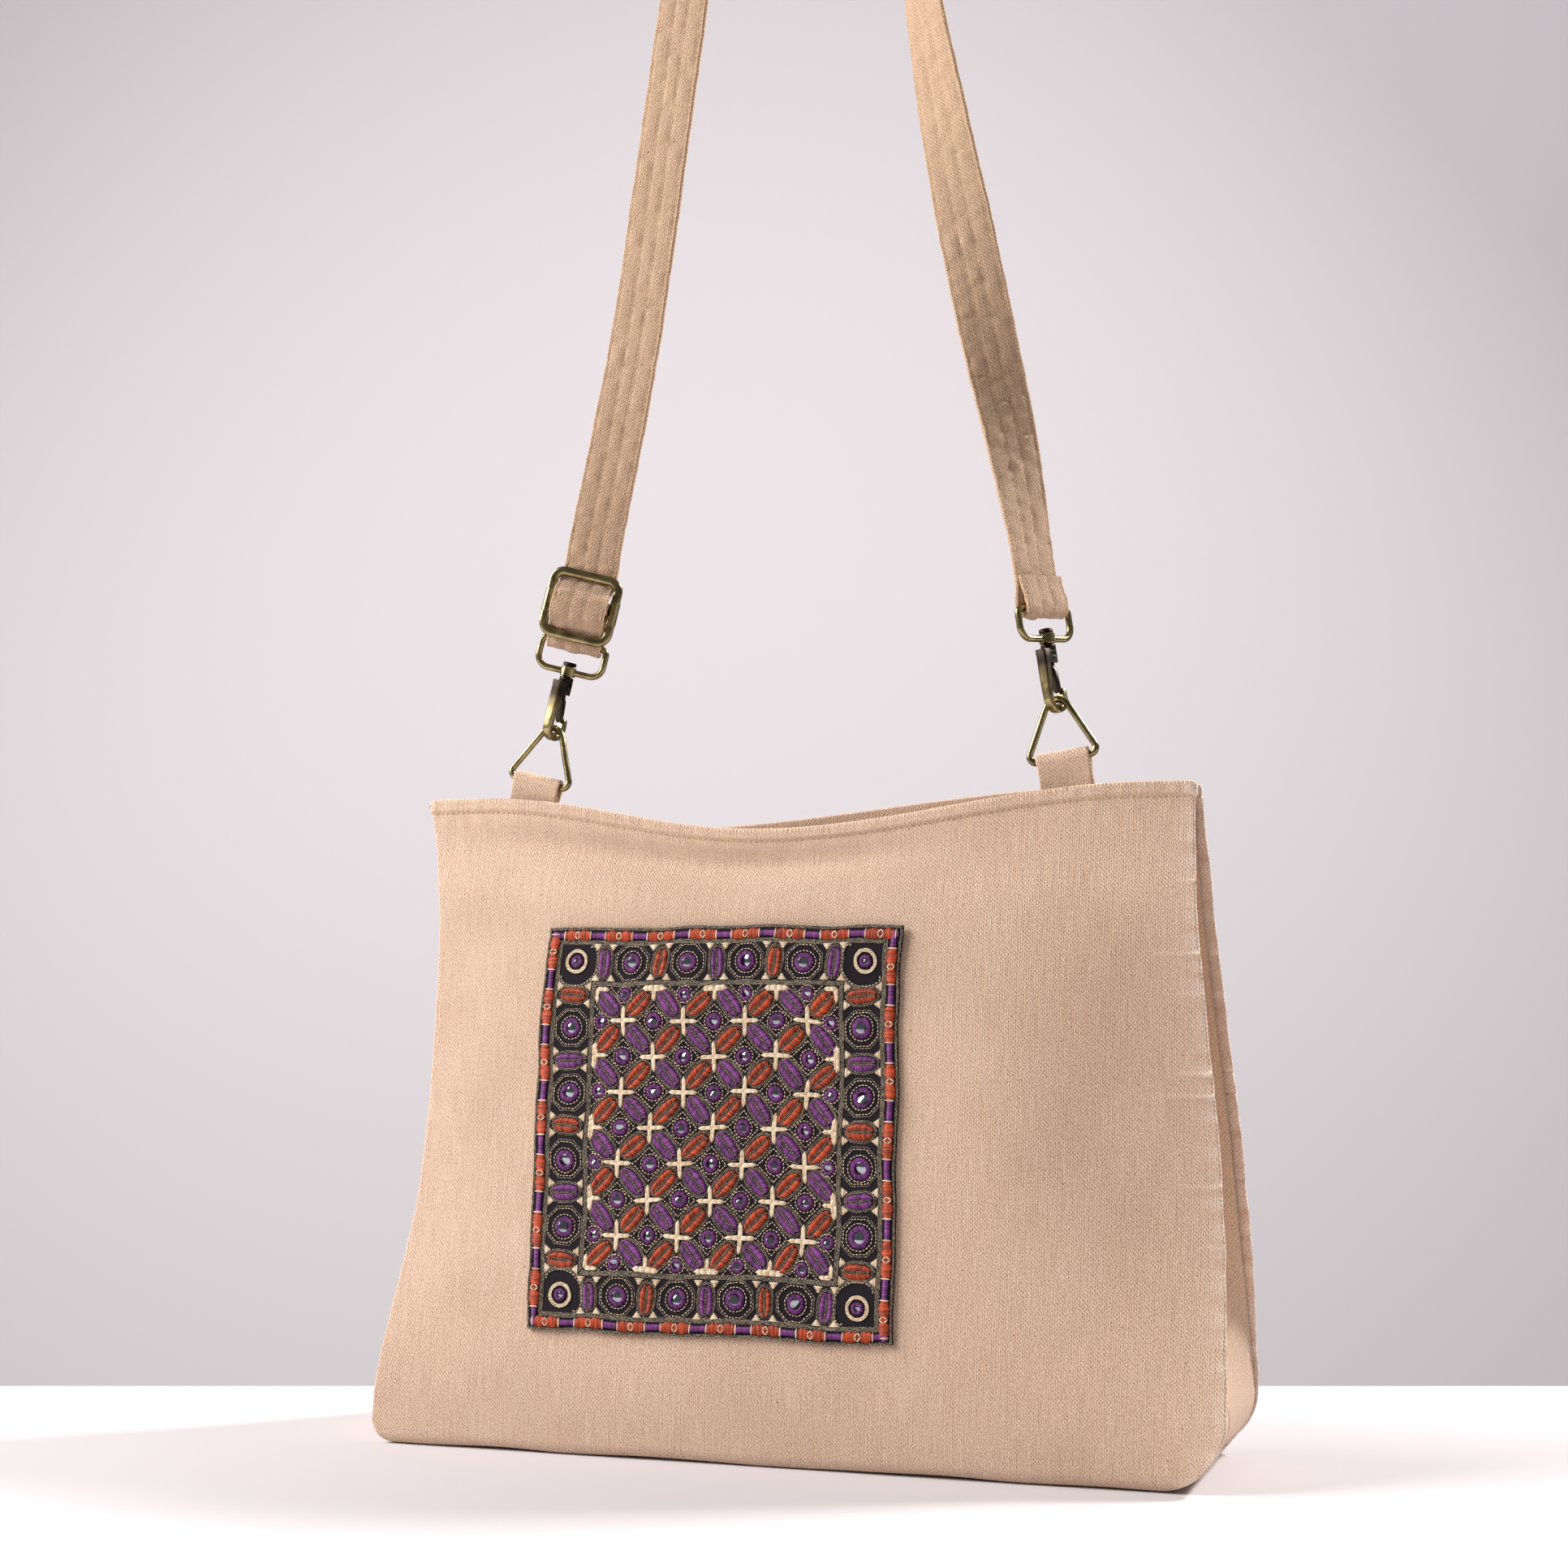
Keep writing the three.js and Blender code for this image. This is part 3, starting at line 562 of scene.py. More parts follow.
@dataclass(frozen=True)
class MetalFinish:
    """Cast or bent metal with a patina: cloudy tarnish, fine brushing and a rough or smooth sheen."""

    name: str
    bright: Colour
    tarnish: Colour
    smooth: float
    rough: float
    blackened: Colour = srgb("2E2720")
    brush_scale: tuple[float, float, float] = (6000.0, 6000.0, 500.0)

    def material(self) -> bpy.types.Material:
        """Builds the material.

        Returns:
            The finished material.
        """
        shader = Shader(self.name)
        place = shader.object_place()
        cloud = shader.noise(place, 140.0, 3.0, 0.6)
        brushing = shader.noise(shader.stretched(place, self.brush_scale), 1.0)
        wear = shader.add(
            "ShaderNodeValToRGB",
            {"stops": [(0.25, (0, 0, 0, 1)), (0.7, (1, 1, 1, 1))]},
            {0: cloud},
        )
        aged = shader.shade()
        colour = shader.mix(aged, shader.mix(wear, self.tarnish, self.bright), self.blackened)
        roughness = brushing * 0.14 + cloud * (self.rough - self.smooth) + aged * 0.22 + (self.smooth - 0.07)
        normal = shader.bump(brushing * 0.5 + cloud * 0.5, 0.00003, 0.6)
        return shader.finish({
            "Base Color": colour,
            "Metallic": 1.0,
            "Roughness": roughness,
            "Normal": normal,
        })


@dataclass(frozen=True)
class ThreadFinish:
    """Embroidery thread: a shade for each stitch, a fibre streak and a soft shine."""

    name: str
    light: Colour
    dark: Colour
    rough: float = 0.55
    sheen: float = 0.3

    def material(self) -> bpy.types.Material:
        """Builds the material.

        Returns:
            The finished material.
        """
        shader = Shader(self.name)
        place = shader.object_place()
        fibre = shader.noise(place, 5200.0, 2.0, 0.6)
        tone = shader.shade() * 0.75 + fibre * 0.5 - 0.12
        normal = shader.bump(fibre, 0.00006, 0.8)
        return shader.finish({
            "Base Color": shader.mix(tone, self.dark, self.light),
            "Roughness": self.rough,
            "Sheen Weight": self.sheen,
            "Normal": normal,
        })


@dataclass(frozen=True)
class GroundFinish:
    """The patch's black cotton ground: a plain weave with a little dust."""

    name: str
    dark: Colour = srgb("131014")
    light: Colour = srgb("2C272B")
    yarn: float = 0.55

    def material(self) -> bpy.types.Material:
        """Builds the material.

        Returns:
            The finished material.
        """
        shader = Shader(self.name)
        place, u, v = shader.cloth_place()
        pitch = TURN / self.yarn
        weave = (u * pitch).sine() * (v * pitch).sine() * 0.5 + 0.5
        dust = shader.noise(place, 0.8, 3.0)
        normal = shader.bump(weave, 0.00012, 0.7)
        return shader.finish({
            "Base Color": shader.mix(weave * 0.35 + dust * 0.5, self.dark, self.light),
            "Roughness": 0.95,
            "Specular IOR Level": 0.2,
            "Normal": normal,
        })


@dataclass(frozen=True)
class MirrorFinish:
    """Small hand-cut mirrors: bright, a little grey and faintly scratched."""

    name: str
    clear: Colour = srgb("C6CAD0")
    grey: Colour = srgb("70757F")

    def material(self) -> bpy.types.Material:
        """Builds the material.

        Returns:
            The finished material.
        """
        shader = Shader(self.name)
        place = shader.object_place()
        haze = shader.noise(place, 260.0, 3.0)
        roughness = haze * 0.16 + 0.02
        return shader.finish({
            "Base Color": shader.mix(haze, self.clear, self.grey),
            "Metallic": 1.0,
            "Roughness": roughness,
        })


# Stitches laid by Geometry Nodes


class StitchLine(NamedTuple):
    """Where each stitch of a set lies, in bag millimetres, with the shade of its thread from 0 to 1."""

    place: Array
    along: Array
    out: Array
    length: Array
    girth: Array
    shade: Array


@dataclass(frozen=True)
class Stitcher:
    """Lays one rounded stitch on each point of a set, as a single plain mesh."""

    sides: int = 5
    rings: int = 4
    arch: float = 0.0
    flatness: float = 1.0

    @staticmethod
    def _node(tree: bpy.types.NodeTree, kind: str, sockets: dict, **settings: object) -> bpy.types.Node:
        """Adds a node with its settings, then its values or links."""
        node = tree.nodes.new(kind)
        for name, setting in settings.items():
            setattr(node, name, setting)
        for key, given in sockets.items():
            if isinstance(given, bpy.types.NodeSocket):
                tree.links.new(given, node.inputs[key])
            else:
                node.inputs[key].default_value = given
        return node

    def _tree(self, name: str) -> bpy.types.NodeTree:
        """Builds the tree: a rounded stitch, bent down at its ends, on every point.

        Args:
            name: The tree's name.
        Returns:
            The tree, with named inputs for the stitch's sides, rings, arch, flatness and finish.
        """
        tree = bpy.data.node_groups.new(name, "GeometryNodeTree")
        face = tree.interface
        for label, kind in (
            ("Points", "NodeSocketGeometry"),
            ("Sides", "NodeSocketInt"),
            ("Rings", "NodeSocketInt"),
            ("Arch", "NodeSocketFloat"),
            ("Flatness", "NodeSocketFloat"),
            ("Finish", "NodeSocketMaterial"),
        ):
            face.new_socket(name=label, in_out="INPUT", socket_type=kind)
        face.new_socket(name="Stitches", in_out="OUTPUT", socket_type="NodeSocketGeometry")
        add = self._node
        given = tree.nodes.new("NodeGroupInput").outputs
        bead = add(tree, "GeometryNodeMeshUVSphere", {
            "Segments": given["Sides"], "Rings": given["Rings"], "Radius": 0.5,
        })

        def times(first: bpy.types.NodeSocket, second: bpy.types.NodeSocket | float) -> bpy.types.NodeSocket:
            """Multiplies two numbers."""
            return add(tree, "ShaderNodeMath", {0: first, 1: second}, operation="MULTIPLY").outputs[0]

        def read(label: str, kind: str) -> bpy.types.NodeSocket:
            """Reads a named attribute of the points."""
            return add(tree, "GeometryNodeInputNamedAttribute", {"Name": label}, data_type=kind).outputs[0]

        position = tree.nodes.new("GeometryNodeInputPosition").outputs[0]
        along = add(tree, "ShaderNodeSeparateXYZ", {0: position}).outputs["Z"]
        down = times(times(times(along, along), given["Arch"]), -4.0)
        shift = add(tree, "ShaderNodeCombineXYZ", {"X": down})
        bent = add(tree, "GeometryNodeSetPosition", {"Geometry": bead.outputs[0], "Offset": shift.outputs[0]})
        turn = add(
            tree,
            "FunctionNodeAxesToRotation",
            {0: read("along", "FLOAT_VECTOR"), 1: read("out", "FLOAT_VECTOR")},
            primary_axis="Z",
            secondary_axis="X",
        )
        girth = read("girth", "FLOAT")
        size = add(tree, "ShaderNodeCombineXYZ", {
            "X": times(girth, given["Flatness"]), "Y": girth, "Z": read("length", "FLOAT"),
        })
        laid = add(tree, "GeometryNodeInstanceOnPoints", {
            "Points": given["Points"],
            "Instance": bent.outputs[0],
            "Rotation": turn.outputs[0],
            "Scale": size.outputs[0],
        })
        smooth = add(tree, "GeometryNodeSetShadeSmooth", {
            "Geometry": add(tree, "GeometryNodeRealizeInstances", {0: laid.outputs[0]}).outputs[0],
        })
        dressed = add(tree, "GeometryNodeSetMaterial", {
            "Geometry": smooth.outputs[0], "Material": given["Finish"],
        })
        add(tree, "NodeGroupOutput", {0: dressed.outputs[0]})
        return tree

    def lay(self, name: str, lines: Sequence[StitchLine], material: bpy.types.Material) -> bpy.types.Object:
        """Makes the stitches of several sets as one plain mesh.

        Args:
            name: The piece's name.
            lines: The sets of stitches.
            material: The thread's finish.
        Returns:
            The object, with its modifier already worked out and removed.
        """
        joined = StitchLine(*(np.concatenate(parts) for parts in zip(*lines)))
        mesh = bpy.data.meshes.new(name)
        mesh.from_pydata((joined.place * MILLIMETRE + BAG_ZERO).tolist(), [], [])
        for label in ("along", "out"):
            layer = mesh.attributes.new(label, "FLOAT_VECTOR", "POINT")
            layer.data.foreach_set("vector", getattr(joined, label).astype(np.float32).ravel())
        for label, measure in (("length", MILLIMETRE), ("girth", MILLIMETRE), (SHADE, 1.0)):
            layer = mesh.attributes.new(label, "FLOAT", "POINT")
            layer.data.foreach_set("value", (getattr(joined, label) * measure).astype(np.float32))
        made = linked(name, mesh)
        tree = self._tree(f"{name}_tree")
        modifier = made.modifiers.new("stitches", "NODES")
        modifier.node_group = tree
        inputs = {
            "Sides": self.sides,
            "Rings": self.rings,
            "Arch": self.arch,
            "Flatness": self.flatness,
            "Finish": material,
        }
        for item in tree.interface.items_tree:
            if item.in_out == "INPUT" and item.name in inputs:
                modifier[item.identifier] = inputs[item.name]
        finished = made.evaluated_get(bpy.context.evaluated_depsgraph_get())
        made.data = bpy.data.meshes.new_from_object(finished)
        made.data.name = name
        made.modifiers.clear()
        for label in ("along", "out", "length", "girth"):
            if label in made.data.attributes:
                made.data.attributes.remove(made.data.attributes[label])
        bpy.data.meshes.remove(mesh)
        return made


class SeamStitch(NamedTuple):
    """A seam's stitches: from one to the next, the length and girth of each, and how far they stand off."""

    pitch: float
    length: float
    girth: float
    off: float = 0.0


def seam_line(route: Array, out: Array, stitch: SeamStitch, seed: int) -> StitchLine:
    """Spaces even stitches along a route.

    Args:
        route: Points of the route, close together.
        out: The way off the cloth at each point.
        stitch: The seam's stitches.
        seed: Picks each stitch's shade and small slant.
    Returns:
        The stitches.
    """
    run = lengths(route)
    stops = np.arange(stitch.pitch / 2, run[-1], stitch.pitch)
    away = unit(between(stops, run, out))
    draw = np.random.default_rng(seed)
    along = unit(between(stops + 0.5, run, route) - between(stops - 0.5, run, route))
    along = unit(along + np.cross(along, away) * draw.normal(0, 0.05, (len(stops), 1)))
    ones = np.ones(len(stops))
    shade = draw.uniform(0.2, 0.9, len(stops))
    place = between(stops, run, route)
    return StitchLine(place, along, away, stitch.length * ones, stitch.girth * ones, shade)


# Bag body


class BodyRow(NamedTuple):
    """The body at one height: side edges, depth at the edges, extra depth at mid width and gusset fold."""

    z: float
    left: float
    right: float
    depth: float
    belly: float
    fold: float


class Rim(NamedTuple):
    """How a rim sags between the tabs."""

    sag: float
    middle: float
    reach_left: float
    reach_right: float


class Dent(NamedTuple):
    """A soft hollow in a wall, or a swelling where the depth is negative."""

    x: float
    z: float
    reach_x: float
    reach_z: float
    depth: float


class Crease(NamedTuple):
    """A short pucker that runs in from the right-hand seam."""

    z: float
    length: float
    height: float


@dataclass(frozen=True)
class BagForm:
    """The shape of the bag's cloth at any place on its walls, in millimetres."""

    rows: tuple[BodyRow, ...] = (
        BodyRow(0, -188, 192, 100, 0, 0.5),
        BodyRow(30, -187, 192, 94, 6, 8),
        BodyRow(65, -183, 191, 75, 16, 26),
        BodyRow(100, -178.5, 189.5, 57, 24, 38),
        BodyRow(140, -175, 187, 47, 26, 43),
        BodyRow(190, -173, 182, 41, 23, 45),
        BodyRow(235, -173.5, 178, 32, 18, 46),
        BodyRow(260, -177, 177, 23, 15, 47),
        BodyRow(290, -183, 176.5, 16, 14, 48),
    )
    rims: dict[Face, Rim] = field(
        default_factory=lambda: {Face.FRONT: Rim(17.5, -14, 142, 172), Face.BACK: Rim(15, -75, 105, 212)}
    )
    dents: dict[Face, tuple[Dent, ...]] = field(
        default_factory=lambda: {
            Face.FRONT: (
                Dent(-85, 270, 66, 7, 4.2),
                Dent(-10, 271, 66, 7, 3.2),
                Dent(-70, 247, 95, 13, -4.4),
                Dent(95, 255, 40, 26, 1.5),
                Dent(95, 150, 52, 110, -5.5),
                Dent(5, 222, 80, 30, -4.2),
                Dent(-150, 120, 22, 55, -1.2),
                Dent(60, 30, 70, 16, 1.2),
            ),
            Face.BACK: (
                Dent(40, 258, 70, 10, 2.4),
                Dent(-60, 180, 60, 60, -2.5),
                Dent(90, 90, 60, 45, 2.0),
            ),
        }
    )
    creases: tuple[Crease, ...] = (
        Crease(247, 9, 0.35),
        Crease(216, 22, 0.5),
        Crease(199, 12, 0.4),
        Crease(166, 15, 0.55),
        Crease(157, 26, 0.6),
        Crease(120, 20, 0.4),
        Crease(96, 11, 0.35),
    )
    rim_height: float = 290.0
    sag_start: float = 190.0
    corner_left: float = 12.0
    corner_right: float = 30.0
    cloth: float = 1.8
    hem: float = 3.0
    hem_height: float = 7.0
    gap: float = 0.2
    seam_lip: float = 1.5
    lip_height: float = 30.0
    foot_round: float = 5.0

    @property
    def hem_foot(self) -> float:
        """Gives the height of the hem's lower edge."""
        return self.rim_height - self.hem_height

    def column(self, name: str, z: Array) -> Array:
        """Joins one column of the table by an eased cubic through its rows.

        Args:
            name: The column.
            z: Heights.
        Returns:
            The column's value at each height.
        """
        heights = np.array([row.z for row in self.rows])
        values = np.array([getattr(row, name) for row in self.rows])
        order = np.arange(len(heights))
        low = np.maximum(order - 1, 0)
        high = np.minimum(order + 1, len(heights) - 1)
        slopes = (values[high] - values[low]) / (heights[high] - heights[low])
        row = np.clip(np.searchsorted(heights, z, side="right") - 1, 0, len(heights) - 2)
        span = heights[row + 1] - heights[row]
        t = np.clip((z - heights[row]) / span, 0, 1)
        eased = t * t * (3 - 2 * t)
        pull = t * (1 - t) * ((1 - t) * slopes[row] - t * slopes[row + 1]) * span
        return values[row] + (values[row + 1] - values[row]) * eased + pull

    def corner_radius(self, side: Side) -> float:
        """Gives the radius of a lower corner."""
        return self.corner_left if side is Side.LEFT else self.corner_right

    def edge(self, side: Side, z: Array) -> Array:
        """Gives the plain side edge, before its lower corner is rounded."""
        return self.column("left" if side is Side.LEFT else "right", z)

    def cut_edge(self, side: Side, z: Array) -> Array:
        """Gives the side edge with its lower corner rounded.

        Args:
            side: Which end of the bag.
            z: Heights.
        Returns:
            The edge's place across the bag.
        """
        radius = self.corner_radius(side)
        below = np.clip(radius - z, 0, radius)
        return self.edge(side, z) + side.value * (radius - np.sqrt(radius**2 - below**2))

    def half_depth(self, x: Array, z: Array) -> Array:
        """Gives half the body's depth, without dents."""
        left = self.edge(Side.LEFT, z)
        right = self.edge(Side.RIGHT, z)
        off_centre = np.clip((2 * x - left - right) / (right - left), -1, 1)
        return (self.column("depth", z) + self.column("belly", z) * (1 - off_centre**2)) / 2

    def tuck(self, z: Array) -> Array:
        """Gives how far a wall is drawn in at its foot, which turns under along a quarter circle."""
        return self.foot_round * (1 - rounded(z, self.foot_round))

    def wall_out(self, face: Face, x: Array, z: Array) -> Array:
        """Gives how far a wall's outer face stands from mid depth, with its soft dents.

        Args:
            face: Front or back.
            x: Places across.
            z: Heights, before the rim's sag.
        Returns:
            The distance out.
        """
        out = self.half_depth(x, z) - self.tuck(z)
        for dent in self.dents[face]:
            out = out - dent.depth * swell(x, dent.x, dent.reach_x) * swell(z, dent.z, dent.reach_z)
        return out + 0.3 * wander(x, 70, 18 + face.value) * wander(z, 80, 19 + face.value)

    def sagged(self, face: Face, x: Array, z: Array) -> Array:
        """Lowers heights near the rim by the rim's sag."""
        rim = self.rims[face]
        reach = np.where(x < rim.middle, rim.reach_left, rim.reach_right)
        share = np.clip((x - rim.middle) / reach, -1, 1)
        rise = np.clip((z - self.sag_start) / (self.rim_height - self.sag_start), 0, 1)
        return z - rim.sag * np.cos(math.pi / 2 * share) ** 2 * rise


@dataclass
class ClothBody:
    """The twill body: two walls with a turned hem, two folded side strips and the base."""

    form: BagForm
    finish: TwillFinish
    thread: ThreadFinish
    columns: dict[Face, int] = field(default_factory=lambda: {Face.FRONT: 136, Face.BACK: 70})
    wall_step: float = 2.8
    edge_radius: float = 1.1
    hem_puff: float = 1.1
    stitch_sink: float = 0.8
    stitch_reach: float = 0.9
    pucker: float = 0.14
    crease_rows: tuple[float, ...] = (-1.8, -1.1, -0.5, 0.0, 0.5, 1.1, 1.8)
    crease_reach: float = 1.0
    crease_room: float = 2.2
    # How pale the creases are painted: partly wear, partly painted highlight.
    crease_wear_and_highlight: float = 0.45
    seam_rise: float = 0.4
    hem_stitch: SeamStitch = SeamStitch(2.7, 2.2, 0.62, 0.12)
    edge_stitch: SeamStitch = SeamStitch(3.4, 1.5, 0.36, 0.05)
    edge_thin: float = 0.05
    lift: float = 0.8
    lift_height: float = 14.0
    seam_angle: float = math.pi / 4
    seam_gap: float = 0.012
    fold_tip: float = 1.4
    strip_step: float = 2.6
    back_overhang: float = 2.6
    hem_overhang: float = 1.3
    corner_round: float = 3.0
    cuts: dict[str, Cut] = field(
        default_factory=lambda: {
            "front_panel": Cut(0.38, 0.297, 0.106, "hung", ("tab_left", "tab_right")),
            "back_panel": Cut(0.38, 0.297, 0.106, "hung", ("gusset_left", "gusset_right")),
            "gusset_left": Cut(0.105, 0.29, 0.0285, "folded", ("front_panel", "back_panel")),
            "gusset_right": Cut(0.105, 0.29, 0.0285, "folded", ("front_panel", "back_panel")),
            "base_panel": Cut(0.088, 0.385, 0.0335, "stretched", ("front_panel", "back_panel")),
        }
    )

    def heights(self) -> Array:
        """Gives the rows of a wall from base to rim, close together at the corner and the hem."""
        form = self.form
        corner = form.corner_right * (1 - np.cos(np.linspace(0, math.pi / 2, 14)))
        wall = np.arange(form.corner_right + self.wall_step, form.hem_foot - 7, self.wall_step)
        hem = np.linspace(form.hem_foot - 6, form.rim_height - form.hem / 2, 26)
        levels = np.array([crease.z for crease in form.creases])
        creases = (levels[:, None] + np.array(self.crease_rows)).ravel()
        plain = wall[np.abs(wall[:, None] - levels).min(1) > self.crease_room]
        return np.sort(np.concatenate((corner, plain, creases, hem)))

    def columns_share(self, face: Face) -> Array:
        """Gives the columns of a wall from edge to edge, close together at the seams."""
        even = np.linspace(0, 1, self.columns[face])
        eased = 0.5 - 0.5 * np.cos(math.pi * even)
        seam = 0.5 * even + 0.5 * eased
        lip = np.array((0.0006, 0.0013, 0.0022))
        return np.concatenate((seam[:1], lip, seam[1:-1], 1 - lip[::-1], seam[-1:]))

    def wall_edges(self, face: Face, z: Array) -> tuple[Array, Array]:
        """Gives a wall's side edges, a little uneven as sewn cloth is."""
        form = self.form
        seed = 10 + face.value
        left = form.cut_edge(Side.LEFT, z) + 0.16 * wander(z, 34, seed + 30)
        right = form.cut_edge(Side.RIGHT, z) + 0.16 * wander(z, 30, seed + 31)
        if face is Face.FRONT:
            return left, right + self.hem_overhang / (1 + np.exp(-(z - form.hem_foot) / 0.5))
        low = np.clip((z - form.corner_right) / 60, 0, 1)
        return left, right + self.back_overhang * low * np.clip((form.hem_foot - z) / 50 + 0.35, 0, 1)

    def wall_face(self, face: Face, x: Array, z: Array) -> tuple[Array, Array]:
        """Adds the hem, its sunk seam, the puckers and the side creases to a wall's plain form.

        Args:
            face: Front or back.
            x: Places across.
            z: Heights, before the rim's sag.
        Returns:
            How far the outer face stands from mid depth, and the cloth's thickness there.
        """
        form = self.form
        seed = 10 + face.value
        left, right = self.wall_edges(face, z)
        from_side = np.minimum(x - left, right - x)
        foot = form.hem_foot
        in_hem = 1 / (1 + np.exp(-(z - foot) / 0.35))
        sunk = self.stitch_sink * swell(z, foot + self.seam_rise, self.stitch_reach)
        out = form.wall_out(face, x, z) + self.hem_puff * in_hem - sunk
        out = out + self.pucker * wander(x, 8.5, seed) * swell(z, foot - 3, 4.5)
        out = out + 0.22 * wander(x, 6.0, seed + 3) * swell(z, foot + 4, 3)
        side_wave = wander(z, 9.0, seed + 5) * (x < 0) + wander(z, 8.0, seed + 6) * (x >= 0)
        out = out + 1.6 * self.pucker * side_wave * np.exp(-from_side / 4)
        for crease in form.creases:
            fade = np.clip(1 - (right - x) / crease.length, 0, 1)
            out = out + 2.0 * crease.height * swell(z, crease.z, self.crease_reach) * fade
        return out, form.cloth + (form.hem - form.cloth) * in_hem

    def seam(self, face: Face, x: Array, level: Array, stitch: SeamStitch, seed: int) -> StitchLine:
        """Runs a seam on a wall.

        Args:
            face: Front or back.
            x: Places across.
            level: Heights, before the rim's sag.
            stitch: The seam's stitches.
            seed: Picks their shades.
        Returns:
            The stitches.
        """
        out = self.wall_face(face, x, level)[0] + stitch.off
        route = np.stack((x, face.value * out, self.form.sagged(face, x, level)), -1)
        away = np.broadcast_to(np.array((0.0, face.value, 0.0)), route.shape)
        return seam_line(route, away, stitch, seed + face.value)

    def hem_seam(self, face: Face) -> StitchLine:
        """Runs the hem's seam across a wall, just above the hem's foot."""
        level = np.full(700, self.form.hem_foot + self.seam_rise)
        left, right = self.wall_edges(face, level)
        x = np.linspace(left[0] + 1.5, right[0] - 1.5, len(level))
        return self.seam(face, x, level, self.hem_stitch, 80)

    def edge_seam(self, face: Face) -> StitchLine:
        """Runs small ticks of the seam's thread up a wall's right-hand edge."""
        level = np.linspace(self.form.corner_right, self.form.hem_foot, 400)
        return self.seam(face, self.wall_edges(face, level)[1] - 0.9, level, self.edge_stitch, 90)

    def wall(self, face: Face) -> Skin:
        """Builds a wall as one closed skin, up its outer face, over the rim and down inside.

        Args:
            face: Front or back.
        Returns:
            The wall's skin.
        """
        form = self.form
        z, share = np.meshgrid(self.heights(), self.columns_share(face))
        seed = 10 + face.value
        left, right = self.wall_edges(face, z)
        x = left + (right - left) * share
        from_side = np.minimum(x - left, right - x)
        out, thick = self.wall_face(face, x, z)
        soft = rounded(np.minimum(from_side, z), self.edge_radius)
        pinch = (1 - soft) * (form.cloth / 2 - self.edge_thin)
        lift = self.lift * np.clip(1 - z / self.lift_height, 0, 1) * (0.5 + 0.5 * wander(x, 90, seed + 12))
        level = form.sagged(face, x, z) + np.maximum(lift, 0)
        near_corner = np.clip(1 - from_side / self.corner_round, 0, 1)
        high = np.clip((z - form.rim_height) / 8 + 1, 0, 1)
        level = level - self.corner_round * (1 - np.sqrt(1 - near_corner**2)) * high
        outer = np.stack((x, face.value * (out - pinch), level), -1)
        inner = np.stack((x, face.value * (out - thick + pinch), level), -1)
        roll = np.linspace(0, math.pi, 8)[None, 1:-1]
        radius = thick[:, -1:] / 2
        rim_out = (out[:, -1:] - radius) + radius * np.cos(roll)
        rim_level = level[:, -1:] + radius * np.sin(roll)
        rim_x = np.broadcast_to(x[:, -1:], rim_out.shape)
        rim = np.stack((rim_x, face.value * rim_out, rim_level), -1)
        sections = np.concatenate((outer, rim, inner[:, ::-1]), axis=1)
        flat_out = np.stack((x, z), -1)
        flat_rim = np.stack((rim_x, form.rim_height + radius * (roll - math.pi / 2)), -1)
        flat_in = np.stack((x, 2 * form.rim_height + math.pi - z), -1)
        return Skin().loft(sections, np.concatenate((flat_out, flat_rim, flat_in[:, ::-1]), axis=1))

    def paint_wear_and_highlight(self, mesh: bpy.types.Mesh, face: Face) -> None:
        """Marks where a wall is painted pale, partly as wear and partly as painted highlight: down its
        right-hand edge and along its creases.
        """
        x, _, z = bag_points(mesh).T
        inside = self.wall_edges(face, z)[1] - x
        # Pale lint down the right-hand edge, as wear; the back wall gets more, a painted highlight on an edge
        # that the lamps leave in shade.
        wear_and_highlight_amount = np.exp(-inside / 4) * (0.6 + 0.1 * face.value + 0.4 * wander(z, 9, 62 + face.value))
        # Pale along the creases: partly wear, partly painted highlight.
        for crease in self.form.creases:
            fade = np.clip(1.2 - inside / crease.length, 0, 1)
            wear_and_highlight_amount = wear_and_highlight_amount + self.crease_wear_and_highlight * crease.height * swell(z, crease.z, self.crease_reach) * fade
        set_shade(mesh, wear_and_highlight_amount)

    def strip_places(self, side: Side, low: float, high: float) -> tuple[Array, Array, Array, Array]:
        """Gives places down a side strip and round its lower corner.

        Args:
            side: Which end of the bag.
            low: Angle round the corner where the strip ends, or where a base bend ends.
            high: Angle where it starts, 0 for a strip that starts at the rim.
        Returns:
            Place across, height, and the way in as two numbers, for each station.
        """
        form = self.form
        radius = form.corner_radius(side)
        angle = np.linspace(high, low, 12)
        z = radius * (1 - np.sin(angle))
        x_pull = radius * (1 - np.cos(angle))
        if high == 0:
            top = form.rim_height - np.array((0.0, 0.12, 0.4, 0.9))
            upright = np.concatenate((top, np.arange(form.rim_height - 2.5, radius + 1, -self.strip_step)))
            z = np.concatenate((upright, z))
            x_pull = np.concatenate((np.zeros(len(upright)), x_pull))
            angle = np.concatenate((np.zeros(len(upright)), angle))
        lip = form.seam_lip * np.clip(z / form.lip_height, 0, 1)
        x = form.edge(side, z) + side.value * (x_pull + lip)
        return x, z, side.value * np.cos(angle), np.sin(angle)

